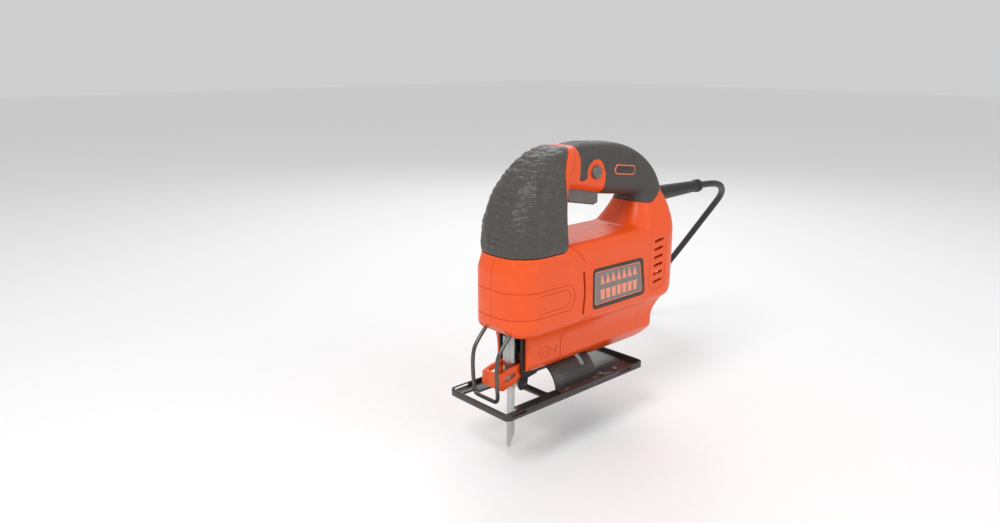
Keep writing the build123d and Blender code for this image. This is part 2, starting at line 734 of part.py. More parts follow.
def make_armature():
    """Shaft with its cut pinion, laminated core, windings, commutator and fan."""
    with BuildPart() as shaft:
        add(rod(
            (GEAR_FRONT + GEAR_WIDTH + 1.5, 0, MOTOR_Z), (1, 0, 0), SHAFT_R, 104 - GEAR_FRONT - GEAR_WIDTH - 1.5))
        pinion_plane = Plane(origin=(GEAR_FRONT - 1, 0, MOTOR_Z), x_dir=(0, 1, 0), z_dir=(1, 0, 0))
        add(toothed(PINION_TEETH, 90 + 180 / PINION_TEETH, pinion_plane, GEAR_WIDTH + 3))
    save(shaft.part, "armature_shaft")
    slots = 12
    with BuildPart() as core:
        add(rod((FIELD_FRONT + 1, 0, MOTOR_Z), (1, 0, 0), 15.6, 42, SHAFT_R))
        with BuildSketch(Plane(origin=(FIELD_FRONT + 1, 0, MOTOR_Z), x_dir=(0, 1, 0), z_dir=(1, 0, 0))):
            with PolarLocations(11.5, slots):
                Rectangle(6, 2.6)
            with PolarLocations(15, slots):
                Rectangle(2.6, 1.2)
        extrude(amount=42, mode=Mode.SUBTRACT)
    save(core.part, "armature_core")
    with BuildPart() as windings:
        with BuildSketch(Plane(origin=(FIELD_FRONT + 1, 0, MOTOR_Z), x_dir=(0, 1, 0), z_dir=(1, 0, 0))):
            with PolarLocations(11.5, slots):
                Rectangle(6, 2.6)
        extrude(amount=42)
        for x in (FIELD_FRONT - 4.5, FIELD_FRONT + 43):
            add(rod((x, 0, MOTOR_Z), (1, 0, 0), 13.8, 5.5, 7))
    save(windings.part, "armature_windings")
    with BuildPart() as commutator:
        add(rod((73, 0, MOTOR_Z), (1, 0, 0), 9.0, 12, SHAFT_R))
        with BuildSketch(Plane(origin=(75, 0, MOTOR_Z), x_dir=(0, 1, 0), z_dir=(1, 0, 0))):
            with PolarLocations(8.8, 24):
                Rectangle(1.6, 0.4)
        extrude(amount=12, mode=Mode.SUBTRACT)
    save(commutator.part, "commutator")
    with BuildPart() as fan:
        add(rod((1, 0, MOTOR_Z), (1, 0, 0), 7, 9, SHAFT_R))
        add(rod((8.5, 0, MOTOR_Z), (1, 0, 0), 22, 1.5, SHAFT_R))
        with BuildSketch(Plane(origin=(2.5, 0, MOTOR_Z), x_dir=(0, 1, 0), z_dir=(1, 0, 0))):
            with PolarLocations(16, 11):
                Rectangle(12, 1.2, rotation=24)
        extrude(amount=6)
    save(fan.part, "cooling_fan")


def make_drive_gear():
    """The gear on its axle, with the crank pin and its roller at the bottom of the turn."""
    with BuildPart() as gear:
        gear_plane = Plane(origin=(GEAR_FRONT, 0, GEAR_Z), x_dir=(0, 1, 0), z_dir=(1, 0, 0))
        add(toothed(GEAR_TEETH, -90, gear_plane, GEAR_WIDTH))
        with BuildSketch(gear_plane):
            Circle(SHAFT_R + RUN)
            with Locations((0, -CRANK_R)):
                Circle(CRANK_PIN_R - 0.5)
            with PolarLocations(11.6, 3, start_angle=30):
                Circle(2.6)
        extrude(amount=GEAR_WIDTH, mode=Mode.SUBTRACT)
    save(gear.part, "drive_gear")
    with BuildPart() as pin:
        add(rod((GEAR_FRONT, 0, GEAR_Z - CRANK_R), (1, 0, 0), CRANK_PIN_R - 0.5, GEAR_WIDTH))
        add(rod((GEAR_FRONT - 12.5, 0, GEAR_Z - CRANK_R), (1, 0, 0), CRANK_PIN_R, 12.5))
    save(pin.part, "crank_pin")
    save(rod((GEAR_FRONT - 12, 0, GEAR_Z - CRANK_R), (1, 0, 0), ROLLER_OUT, 8, CRANK_PIN_R), "crank_roller")


# --- plunger ------------------------------------------------------------------------------------
def blade_slot():
    """The slot that takes the blade's shank."""
    with BuildPart() as made:
        with Locations(((BLADE_FRONT + BLADE_BACK) / 2, 0, (CLAMP_LOW + SHANK_TOP) / 2)):
            Box(BLADE_BACK - BLADE_FRONT, 2 * BLADE_HALF, SHANK_TOP - CLAMP_LOW + 0.2)
    return made.part


def make_plunger():
    """Reciprocating rod with its yoke and the blade clamp."""
    low = 40.0
    with BuildPart() as bar:
        add(rod((PLUNGER_X, 0, low), (0, 0, 1), PLUNGER_R, PLUNGER_TOP - low))
        chamfer(bar.faces().sort_by(Axis.Z)[-1].edges(), 1)
        add(blade_slot(), mode=Mode.SUBTRACT)
    save(bar.part, "plunger")
    slot_z = GEAR_Z - CRANK_R
    slot_half = ROLLER_OUT + YOKE_PLAY
    with BuildPart() as yoke:
        with BuildSketch(Plane.YZ.offset(-40)):
            with Locations((0, slot_z)):
                RectangleRounded(2 * (CRANK_R + ROLLER_OUT + 4.6), 2 * (slot_half + 3.6), 4)
                Rectangle(2 * (CRANK_R + ROLLER_OUT + 0.5), 2 * slot_half, mode=Mode.SUBTRACT)
        extrude(amount=7)
        add(block(PLUNGER_X - 7.4, -38, 8, slot_z - 10.4, slot_z + 10.4))
        add(
            block(-41.2, -30, CRANK_R + ROLLER_OUT + 0.5, slot_z - slot_half, slot_z + slot_half),
            mode=Mode.SUBTRACT)
        add(rod((PLUNGER_X, 0, 60), (0, 0, 1), PLUNGER_R, 60), mode=Mode.SUBTRACT)
    save(yoke.part, "yoke")
    with BuildPart() as clamp:
        add(rod((PLUNGER_X, 0, CLAMP_LOW), (0, 0, 1), CLAMP_R, CLAMP_TOP - CLAMP_LOW))
        chamfer(clamp.faces().sort_by(Axis.Z)[0].edges(), 1.2)
        add(rod((PLUNGER_X, 0, low), (0, 0, 1), PLUNGER_R, 20), mode=Mode.SUBTRACT)
        for side in (-1, 1):
            add(rod((LEVER_X, side * 3.6, LEVER_Z), (0, side, 0), 1.7, LEVER_HALF - 3.6))
        add(blade_slot(), mode=Mode.SUBTRACT)
    save(clamp.part, "blade_clamp")


def make_blade():
    """T-shank blade with its teeth forward, cutting on the up stroke."""
    pitch = 2.6
    heel = 14.0
    count = 18
    points = [(BLADE_FRONT + 1.1, SHANK_TOP), (BLADE_BACK, SHANK_TOP), (BLADE_BACK, SHANK_TOP - 3),
              (BLADE_BACK - 1.2, SHANK_TOP - 5), (BLADE_BACK - 1.2, 36), (BLADE_BACK, 32),
              (BLADE_BACK, BLADE_TIP + 11), (BLADE_FRONT + 2.2, BLADE_TIP)]
    for tooth in range(count):
        root = BLADE_TIP + 2 + tooth * pitch
        points += [(BLADE_FRONT + 1.3, root), (BLADE_FRONT, root + pitch - 0.3)]
    points += [(BLADE_FRONT + 0.9, heel), (BLADE_FRONT + 0.9, 32), (BLADE_FRONT + 2, 36),
               (BLADE_FRONT + 2, SHANK_TOP - 5),
               (BLADE_FRONT, SHANK_TOP - 3.5), (BLADE_FRONT, SHANK_TOP - 2)]
    with BuildPart() as blade:
        with BuildSketch(Plane.XZ):
            with BuildLine():
                Polyline(*points, close=True)
            make_face()
        extrude(amount=BLADE_HALF, both=True)
    save(blade.part, "saw_blade")


def make_lever():
    """Two slotted arms joined by a bar in front, pivoted on the clamp's trunnions."""
    arms = [
        (-39.2, 21.6), (-39.2, 27), (-44, 29.5), (-58, 27.5), (-67.5, 24.5), (-68, 13.5), (-64, 12), (-52, 15),
        (-43, 20.2)]
    with BuildPart() as lever:
        add(side_plate(arms, LEVER_HALF, 1.2))
        add(side_plate([(-30, 10), (-30, 32), (-64.6, 32), (-64.6, 10)], LEVER_HALF - 3), mode=Mode.SUBTRACT)
        with BuildSketch(Plane.XZ.offset(LEVER_HALF + 1)):
            with Locations((LEVER_X, LEVER_Z)):
                Circle(1.7 + RUN)
            with Locations((-56, 21.3)):
                SlotOverall(12, 5, rotation=12)
        extrude(amount=-2 * LEVER_HALF - 2, mode=Mode.SUBTRACT)
    save(lever.part, "clamp_lever")


# --- controls -----------------------------------------------------------------------------------
def make_trigger():
    """Trigger bar in the underside of the handle, its face ribbed across."""
    face = [(43.7, 171.5), (6.8, 171.5), (6.8, 158), (9, 153.5)]
    ribs_on_face = 9
    for rib in range(ribs_on_face):
        x = 10 + rib * 3.5
        z = 153.3 - 0.19 * (x - 10)
        face += [(x, z), (x + 1.2, z - 1.1), (x + 2.4, z - 0.3)]
    face += [(43.7, 148.5)]
    with BuildPart() as trigger:
        add(side_plate(face, 8.6))
        chamfer(trigger.faces().filter_by(Axis.Y).edges().group_by(Axis.Z)[0], 0.4)
    save(trigger.part, "trigger")


def make_lock_button():
    """The round button on the left that holds the trigger in."""
    with BuildPart() as button:
        add(rod((LOCK_X, -20.2, LOCK_Z), (0, 1, 0), LOCK_R, 8))
        fillet(button.faces().sort_by(Axis.Y)[0].edges(), 1.6)
    save(button.part, "lock_button")


def make_support_roller():
    """Grooved steel roller that backs the blade."""
    with BuildPart() as roller:
        add(rod((ROLLER_X, -ROLLER_HALF, ROLLER_Z), (0, 1, 0), ROLLER_R, 2 * ROLLER_HALF, 1.5 + RUN))
        with BuildSketch(Plane.XZ.offset(1.0)):
            with Locations((ROLLER_X, ROLLER_Z)):
                Circle(ROLLER_R + 1)
                Circle(ROLLER_R - 0.6, mode=Mode.SUBTRACT)
        extrude(amount=-2, mode=Mode.SUBTRACT)
    save(roller.part, "support_roller")


# --- mains lead ---------------------------------------------------------------------------------
def bend_radii(route):
    """The arc for each point of a route: 0.45 of the shorter run over the tangent of half the turn."""
    points = [Vector(*point) for point in route]
    radii = []
    for before, here, after in zip(points, points[1:], points[2:]):
        first, second = here - before, after - here
        turn = math.radians(first.get_angle(second))
        radii.append(0.45 * min(first.length, second.length) / math.tan(turn / 2))
    return radii


def make_tube(route, name):
    """A stretch of the lead as straight runs joined by tangent arcs."""
    radii = bend_radii(route)
    with BuildPart() as tube:
        with BuildLine() as path:
            FilletPolyline(*route, radius=radii)
        length = path.wires()[0].length
        with BuildSketch(Plane(origin=path.line @ 0, z_dir=path.line % 0)):
            Circle(CORD_R)
        sweep()
    ideal = math.pi * CORD_R**2 * length
    print(name, "arcs", [round(radius) for radius in radii])
    print(name, "length", round(length, 1), "volume against section", round(tube.part.volume / ideal, 4))
    save(tube.part, name)
    return length


def make_lead():
    """The lead's free stretch, its coil, the tail to the plug, the tie and the plug."""
    free = make_tube(CORD_ROUTE, "cord")
    tail = make_tube(TAIL_ROUTE, "cord_tail")
    turns = math.tau * (3 * (COIL_OUT + COIL_IN) + COIL_IN)
    print("whole lead outside the guard", round(free + tail + turns), "mm, of which coiled", round(turns))
    with BuildPart() as coil:
        with BuildSketch(Plane.XZ):
            with BuildLine():
                low, step, top = FLOOR_Z, FLOOR_Z + 6 * CORD_R, FLOOR_Z + 8 * CORD_R
                Polyline((COIL_IN - CORD_R, low), (COIL_OUT + CORD_R, low), (COIL_OUT + CORD_R, step),
                         (COIL_R, step), (COIL_R, top), (COIL_IN - CORD_R, top), close=True)
            make_face()
        revolve(axis=Axis.Z)
    save(coil.part.moved(Location((*COIL_CENTRE, 0))), "cord_coil")
    band = 0.8
    with BuildPart() as tie:
        with BuildSketch(Plane.XZ.offset(-5)):
            with BuildLine():
                Polyline((COIL_IN - CORD_R - band, low - band), (COIL_OUT + CORD_R + band, low - band),
                         (COIL_OUT + CORD_R + band, step + band), (COIL_R + band, step + band),
                         (COIL_R + band, top + band), (COIL_IN - CORD_R - band, top + band), close=True)
            make_face()
        extrude(amount=10)
        add(coil.part, mode=Mode.SUBTRACT)
    save(tie.part.moved(Location((*COIL_CENTRE, 0), (0, 0, -65))), "cord_tie")
    with BuildPart() as plug:
        with BuildSketch(Plane.YZ) as neck:
            RectangleRounded(14, 11, 4)
        with BuildSketch(Plane.YZ.offset(12)) as shoulder:
            RectangleRounded(30, 17, 7)
        loft()
        with BuildSketch(Plane.YZ.offset(12)):
            RectangleRounded(30, 17, 7)
        extrude(amount=24)
        with BuildSketch(Plane.YZ.offset(36)):
            with Locations((-9.5, 0), (9.5, 0)):
                Circle(2.4)
        extrude(amount=19)
    last, end = TAIL_ROUTE[-2:]
    heading = math.degrees(math.atan2(end[1] - last[1], end[0] - last[0]))
    save(plug.part.moved(Location(end, (0, 0, heading))), "plug")


if __name__ == "__main__":
    write_halves(casing(), "housing_left", "housing_right")
    write_halves(nose_grip(), "nose_grip_left", "nose_grip_right")
    write_halves(handle_grip(), "handle_grip_left", "handle_grip_right")
    make_badges()
    make_case_screws()
    make_wire_guard()
    make_roller_fork()
    make_dust_channel()
    make_plunger_bearings()
    make_gearbox_plate()
    make_motor_bearings()
    make_stator()
    make_brushes()
    make_switch()
    make_bevel_lock()
    make_cord_guard()
    make_shoe()
    make_armature()
    make_drive_gear()
    make_plunger()
    make_blade()
    make_lever()
    make_trigger()
    make_lock_button()
    make_support_roller()
    make_lead()
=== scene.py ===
"""Looks of a corded jigsaw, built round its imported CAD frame.

Every length in this file is in metres unless its name ends in mm. The frame has +Z up, the saw cuts towards -X, and
-Y is the operator's left. The casing is made as one smooth body, cut into its shells and rubber skins, and dressed.
"""

from __future__ import annotations

import json
import logging
import math
from dataclasses import dataclass, field
from enum import Enum
from typing import Any, Callable, Iterable, Sequence

import bpy
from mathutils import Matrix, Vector, noise

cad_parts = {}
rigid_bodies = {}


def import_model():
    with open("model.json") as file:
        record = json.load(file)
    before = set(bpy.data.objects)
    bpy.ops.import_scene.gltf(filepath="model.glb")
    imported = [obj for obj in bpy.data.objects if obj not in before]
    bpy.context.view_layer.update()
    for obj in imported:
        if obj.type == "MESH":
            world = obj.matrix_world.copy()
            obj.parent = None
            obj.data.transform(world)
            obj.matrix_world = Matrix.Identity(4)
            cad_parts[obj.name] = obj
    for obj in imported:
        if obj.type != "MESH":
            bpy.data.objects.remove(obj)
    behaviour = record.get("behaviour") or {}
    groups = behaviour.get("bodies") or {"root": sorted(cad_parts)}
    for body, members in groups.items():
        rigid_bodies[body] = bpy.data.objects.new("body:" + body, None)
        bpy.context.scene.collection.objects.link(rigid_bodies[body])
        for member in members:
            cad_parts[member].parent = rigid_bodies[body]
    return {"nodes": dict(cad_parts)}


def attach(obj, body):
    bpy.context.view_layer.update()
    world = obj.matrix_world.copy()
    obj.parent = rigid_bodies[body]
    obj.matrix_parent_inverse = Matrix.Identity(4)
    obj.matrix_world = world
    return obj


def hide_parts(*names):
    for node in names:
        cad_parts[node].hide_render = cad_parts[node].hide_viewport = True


frame: dict[str, Any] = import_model()

MM = 0.001
FLOOR_Z = -46.0 * MM
LOG = logging.getLogger("jigsaw")

Point2 = tuple[float, float]
Point3 = tuple[float, float, float]


# --- colours and materials ----------------------------------------------------------------------
def linear(hex_colour: str, alpha: float = 1.0) -> tuple[float, float, float, float]:
    """Turns an sRGB hex colour to the linear values that shaders take.

    Args:
        hex_colour: Six hex digits after a hash.
        alpha: Opacity to append.

    Returns:
        Linear red, green and blue, and alpha.
    """
    digits = hex_colour.lstrip("#")
    channels = [int(digits[i:i + 2], 16) / 255 for i in (0, 2, 4)]
    red, green, blue = (c / 12.92 if c <= 0.04045 else ((c + 0.055) / 1.055) ** 2.4 for c in channels)
    return red, green, blue, alpha


def add_node(
    tree: bpy.types.NodeTree, kind: str, settings: dict[str, Any] | None = None, inputs: dict[str | int, Any] | None = None
) -> bpy.types.Node:
    """Adds a shader node with its settings and its links.

    Args:
        tree: The material's node tree.
        kind: The node's type name.
        settings: Attributes of the node, such as its operation.
        inputs: Socket names or numbers, each with a value or an output socket to link from.

    Returns:
        The new node.
    """
    node = tree.nodes.new(kind)
    for name, value in (settings or {}).items():
        setattr(node, name, value)
    for name, value in (inputs or {}).items():
        if isinstance(value, bpy.types.NodeSocket):
            tree.links.new(value, node.inputs[name])
        else:
            node.inputs[name].default_value = value
    return node


class Grain(Enum):
    """How a surface was given its fine relief."""

    SPARKED = "spark-eroded mould texture"
    RIBBED = "moulded grip ribs"
    BRUSHED = "ground or brushed lines"
    COATED = "powder or dip coat"
    SMOOTH = "polished mould"


@dataclass(frozen=True)
class Finish:
    """One finish: what the piece is made of, how its surface was made, and its colours."""

    name: str
    base: str
    second: str
    roughness: float
    metallic: float = 0.0
    ior: float = 1.5
    coat: float = 0.0
    grain: Grain = Grain.SPARKED
    grain_mm: float = 0.6
    relief_mm: float = 0.02
    mottle_mm: float = 9.0
    wear: float = 0.15
    worn: str = "#FFFFFF"
    along: Point3 = (1.0, 1.0, 1.0)

    def material(self) -> bpy.types.Material:
        """Builds the material, or returns it if it is there already."""
        if self.name in bpy.data.materials:
            return bpy.data.materials[self.name]
        material = bpy.data.materials.new(self.name)
        material.use_nodes = True
        tree = material.node_tree
        tree.nodes.clear()
        place = add_node(tree, "ShaderNodeTexCoord").outputs["Object"]
        shader = add_node(
            tree, "ShaderNodeBsdfPrincipled", {},
            {"Metallic": self.metallic, "Coat Weight": self.coat, "Coat Roughness": 0.12},
        )
        if not self.metallic:
            shader.inputs["IOR"].default_value = self.ior
        mottle = add_node(
            tree, "ShaderNodeTexNoise", {}, {"Vector": place, "Scale": 1 / (self.mottle_mm * MM), "Detail": 3.0})
        mixed = add_node(
            tree, "ShaderNodeMix", {"data_type": "RGBA"},
            {"Factor": mottle.outputs["Fac"], 6: linear(self.base), 7: linear(self.second)})
        edge = self._worn_edges(tree)
        worn = add_node(
            tree, "ShaderNodeMix", {"data_type": "RGBA"}, {"Factor": edge, 6: mixed.outputs[2], 7: linear(self.worn)})
        tree.links.new(worn.outputs[2], shader.inputs["Base Color"])
        height = self._relief(tree, place)
        spread = add_node(
            tree, "ShaderNodeMapRange", {},
            {"Value": mottle.outputs["Fac"], "From Min": 0.3, "From Max": 0.7,
             "To Min": self.roughness - 0.04, "To Max": self.roughness + 0.05})
        tree.links.new(spread.outputs[0], shader.inputs["Roughness"])
        bump = add_node(
            tree, "ShaderNodeBump", {}, {"Height": height, "Distance": self.relief_mm * MM, "Strength": 1.0})
        tree.links.new(bump.outputs[0], shader.inputs["Normal"])
        out = add_node(tree, "ShaderNodeOutputMaterial", {}, {"Surface": shader.outputs[0]})
        out.location = (600, 0)
        return material

    def _worn_edges(self, tree: bpy.types.NodeTree) -> bpy.types.NodeSocket:
        """Returns a mask of sharp edges, where handling rubs the surface lighter."""
        point = add_node(tree, "ShaderNodeNewGeometry").outputs["Pointiness"]
        mask = add_node(
            tree, "ShaderNodeMapRange", {}, {"Value": point, "From Min": 0.52, "From Max": 0.60, "To Max": self.wear})
        return mask.outputs[0]

    def _relief(self, tree: bpy.types.NodeTree, place: bpy.types.NodeSocket) -> bpy.types.NodeSocket:
        """Returns the height of the fine relief.

        Args:
            tree: The material's node tree.
            place: The position to read.

        Returns:
            A socket that runs from about 0 to 1.
        """
        scale = 1 / (self.grain_mm * MM)
        if self.grain is Grain.RIBBED:
            return self._ribs(tree, place)
        stretched = add_node(
            tree, "ShaderNodeMapping", {}, {"Vector": place, "Scale": self.along}).outputs[0]
        noise = add_node(
            tree, "ShaderNodeTexNoise", {}, {"Vector": stretched, "Scale": scale, "Detail": 2.0, "Roughness": 0.6})
        return noise.outputs["Fac"]

    def _ribs(self, tree: bpy.types.NodeTree, place: bpy.types.NodeSocket) -> bpy.types.NodeSocket:
        """Returns wavy level ribs, broken into short scales, as on an overmoulded grip."""
        waver = add_node(
            tree, "ShaderNodeTexNoise", {}, {"Vector": place, "Scale": 1 / (11 * MM), "Detail": 1.0}).outputs["Fac"]
        split = add_node(tree, "ShaderNodeSeparateXYZ", {}, {"Vector": place})
        shift = add_node(
            tree, "ShaderNodeMath", {"operation": "MULTIPLY"}, {0: waver, 1: 5.0 * MM}).outputs[0]
        level = add_node(tree, "ShaderNodeMath", {"operation": "ADD"}, {0: split.outputs["Z"], 1: shift}).outputs[0]
        turns = add_node(
            tree, "ShaderNodeMath", {"operation": "MULTIPLY"}, {0: level, 1: math.tau / (self.grain_mm * MM)}).outputs[0]
        ribs = add_node(tree, "ShaderNodeMath", {"operation": "SINE"}, {0: turns}).outputs[0]
        rounded = add_node(
            tree, "ShaderNodeMapRange", {"interpolation_type": "SMOOTHSTEP"},
            {"Value": ribs, "From Min": -0.9, "From Max": 0.25}).outputs[0]
        scales = add_node(
            tree, "ShaderNodeTexNoise", {}, {"Vector": place, "Scale": 1 / (4.5 * MM), "Detail": 2.0}).outputs["Fac"]
        cut = add_node(
            tree, "ShaderNodeMapRange", {}, {"Value": scales, "From Min": 0.38, "From Max": 0.58}).outputs[0]
        return add_node(tree, "ShaderNodeMath", {"operation": "MULTIPLY"}, {0: rounded, 1: cut}).outputs[0]


# ABS, spark-eroded mould: satin, with a fine even sparkle in its highlights.
ORANGE = Finish("moulded_abs_orange", "#F0560F", "#EA4F0B", 0.36, grain_mm=0.45, relief_mm=0.012, wear=0.25, worn="#FF8A4A")
# The same ABS on the lever, which is small and glossier.
LEVER_ORANGE = Finish("moulded_nylon_orange", "#F2560C", "#E34A08", 0.34, grain_mm=0.4, relief_mm=0.01, worn="#FF8A4A")
# Thermoplastic elastomer, overmoulded: dull, warm dark grey, with wavy ribs that catch the light.
RUBBER = Finish(
    "overmoulded_elastomer_ribbed", "#4C4844", "#403C39", 0.42, grain=Grain.RIBBED, grain_mm=2.6, relief_mm=0.25,
    wear=0.35, worn="#8A8580")
# The same elastomer where the mould is plain.
RUBBER_PLAIN = Finish(
    "overmoulded_elastomer_plain", "#474340", "#3D3936", 0.55, grain_mm=0.5, relief_mm=0.03, wear=0.3, worn="#6E6966")
# Flexible PVC of the lead, its guard and its plug.
PVC = Finish("extruded_pvc_black", "#24211F", "#1D1B1A", 0.45, grain_mm=0.7, relief_mm=0.01, worn="#3C3937")
# Glass-filled nylon in the mechanism: matt black.
BLACK_NYLON = Finish("moulded_nylon_black", "#262322", "#1C1A19", 0.5, grain_mm=0.5, relief_mm=0.02, worn="#4A4644")
# The same nylon, dark red, on the ribbed face of the trigger.
TRIGGER_FACE = Finish("moulded_nylon_dark_red", "#5A2A24", "#48211D", 0.5, grain_mm=0.5, relief_mm=0.012, worn="#7A423A")
GREY_NYLON = Finish("moulded_nylon_grey", "#6A6A66", "#5F5F5B", 0.42, grain_mm=0.5, relief_mm=0.012, worn="#8A8A86")
# Pressed sheet steel with a black cathodic coat: satin, with lighter rubbed edges.
SHOE_BLACK = Finish(
    "coated_steel_black", "#2B2624", "#211D1C", 0.38, grain=Grain.COATED, grain_mm=0.8, relief_mm=0.01, coat=0.15,
    wear=0.5, worn="#6A6461")
BRIGHT_STEEL = Finish(
    "ground_steel", "#C9C7C2", "#B4B2AD", 0.26, metallic=1.0, grain=Grain.BRUSHED, grain_mm=0.25, relief_mm=0.006,
    along=(1.0, 1.0, 0.05), worn="#E4E2DE")
DARK_STEEL = Finish(
    "phosphated_steel", "#6E6A66", "#5A5652", 0.36, metallic=1.0, grain=Grain.COATED, grain_mm=0.4, relief_mm=0.008,
    worn="#9A9692")
BLADE_STEEL = Finish(
    "brushed_blade_steel", "#D5D6D3", "#C2C3C0", 0.34, metallic=1.0, grain=Grain.BRUSHED, grain_mm=0.3, relief_mm=0.008,
    along=(0.06, 1.0, 1.0), worn="#F2F2F0")
ZINC = Finish("zinc_plated_steel", "#B9BAB8", "#A5A6A3", 0.3, metallic=1.0, grain=Grain.COATED, grain_mm=0.5, relief_mm=0.005)
COPPER = Finish("enamelled_copper_wire", "#B4602C", "#9C4E20", 0.3, metallic=1.0, grain=Grain.BRUSHED, grain_mm=0.6, relief_mm=0.05)
IRON = Finish("laminated_iron", "#6B6966", "#595754", 0.45, metallic=1.0, grain=Grain.BRUSHED, grain_mm=0.5, relief_mm=0.02)
BRONZE = Finish("sintered_bronze", "#A97B3F", "#8F6430", 0.45, metallic=1.0, grain=Grain.COATED, grain_mm=0.4, relief_mm=0.01)
ALUMINIUM = Finish("die_cast_aluminium", "#B9B9B9", "#A8A8A8", 0.42, metallic=1.0, grain=Grain.COATED, grain_mm=0.5, relief_mm=0.02)
CARBON = Finish("pressed_carbon", "#2A2A2A", "#1F1F1F", 0.6, grain_mm=0.4, relief_mm=0.02)
PLATE_DARK = Finish("moulded_plate_dark", "#3E302B", "#352824", 0.42, grain=Grain.SMOOTH, grain_mm=1.0, relief_mm=0.004, worn="#5C4A43")
PLATE_FIELD = Finish("printed_plate_field", "#5C463E", "#523E36", 0.5, grain=Grain.SMOOTH, grain_mm=1.0, relief_mm=0.004)
PRINT_ORANGE = Finish("printed_orange", "#F0743C", "#E86A32", 0.4, grain=Grain.SMOOTH, grain_mm=1.0, relief_mm=0.003)
FLOOR_WHITE = Finish("painted_board_white", "#FAFAFA", "#F6F6F6", 0.7, grain_mm=3.0, relief_mm=0.01, wear=0.0)


# --- modelling helpers --------------------------------------------------------------------------
def only(*pieces: bpy.types.Object) -> None:
    """Deselects everything, then selects these pieces and makes the first one active."""
    bpy.ops.object.select_all(action="DESELECT")
    for piece in pieces:
        piece.select_set(True)
    bpy.context.view_layer.objects.active = pieces[0]


def apply_all(piece: bpy.types.Object) -> bpy.types.Object:
    """Applies every modifier of a piece, from the first down."""
    only(piece)
    for modifier in list(piece.modifiers):
        bpy.ops.object.modifier_apply(modifier=modifier.name)
    return piece


def modify(piece: bpy.types.Object, kind: str, **settings: Any) -> bpy.types.Object:
    """Adds one modifier with its settings and applies it.

    Args:
        piece: The piece to change.
        kind: The modifier's type name.
        **settings: The modifier's attributes.

    Returns:
        The same piece.
    """
    modifier = piece.modifiers.new(kind.lower(), kind)
    for name, value in settings.items():
        setattr(modifier, name, value)
    return apply_all(piece)


def joined(name: str, pieces: Sequence[bpy.types.Object]) -> bpy.types.Object:
    """Joins pieces into the first, which takes the name."""
    only(*pieces)
    if len(pieces) > 1:
        bpy.ops.object.join()
    pieces[0].name = name
    pieces[0].data.name = name
    return pieces[0]


def clean(piece: bpy.types.Object, apart: float = 0.005 * MM) -> bpy.types.Object:
    """Merges doubled vertices and turns all faces outwards."""
    only(piece)
    bpy.ops.object.mode_set(mode="EDIT")
    bpy.ops.mesh.select_all(action="SELECT")
    bpy.ops.mesh.remove_doubles(threshold=apart)
    bpy.ops.mesh.normals_make_consistent(inside=False)
    bpy.ops.object.mode_set(mode="OBJECT")
    return piece


def copy_of(name: str, *nodes: str) -> bpy.types.Object:
    """Copies CAD nodes as one merged mesh, at the origin.

    Args:
        name: The copy's name.
        *nodes: The nodes to copy.

    Returns:
        The new piece.
    """
    copies = []
    for node in nodes:
        source = frame["nodes"][node]
        made = bpy.data.objects.new(name, source.data.copy())
        made.data.materials.clear()
        bpy.context.scene.collection.objects.link(made)
        copies.append(made)
    piece = joined(name, copies)
    only(piece)
    bpy.ops.object.mode_set(mode="EDIT")
    bpy.ops.mesh.select_all(action="SELECT")
    bpy.ops.mesh.remove_doubles(threshold=0.005 * MM)
    bpy.ops.object.mode_set(mode="OBJECT")
    if piece.data.has_custom_normals:
        bpy.ops.mesh.customdata_custom_splitnormals_clear()
    return piece


def box(name: str, low_mm: Point3, high_mm: Point3) -> bpy.types.Object:
    """Adds a block between two corners given in millimetres."""
    centre = [(a + b) / 2 * MM for a, b in zip(low_mm, high_mm)]
    size = [(b - a) * MM for a, b in zip(low_mm, high_mm)]
    bpy.ops.object.select_all(action="DESELECT")
    bpy.ops.mesh.primitive_cube_add(size=1, location=centre, scale=size)
    piece = bpy.context.object
    piece.name = name
    bpy.ops.object.transform_apply(location=True, rotation=True, scale=True)
    return piece


def bar(name: str, start_mm: Point3, axis: str, radius_mm: float, length_mm: float, sides: int = 64) -> bpy.types.Object:
    """Adds a round bar from a point along +X, +Y or +Z.

    Args:
        name: The piece's name.
        start_mm: Centre of the first end.
        axis: X, Y or Z.
        radius_mm: The bar's radius.
        length_mm: The bar's length.
        sides: Corners round the bar.

    Returns:
        The new piece.
    """
    step = {"X": (1, 0, 0), "Y": (0, 1, 0), "Z": (0, 0, 1)}[axis]
    centre = [(s + d * length_mm / 2) * MM for s, d in zip(start_mm, step)]
    turn = {"X": (0, math.pi / 2, 0), "Y": (math.pi / 2, 0, 0), "Z": (0, 0, 0)}[axis]
    bpy.ops.object.select_all(action="DESELECT")
    bpy.ops.mesh.primitive_cylinder_add(
        vertices=sides, radius=radius_mm * MM, depth=length_mm * MM, location=centre, rotation=turn)
    piece = bpy.context.object
    piece.name = name
    bpy.ops.object.transform_apply(location=True, rotation=True, scale=True)
    return piece


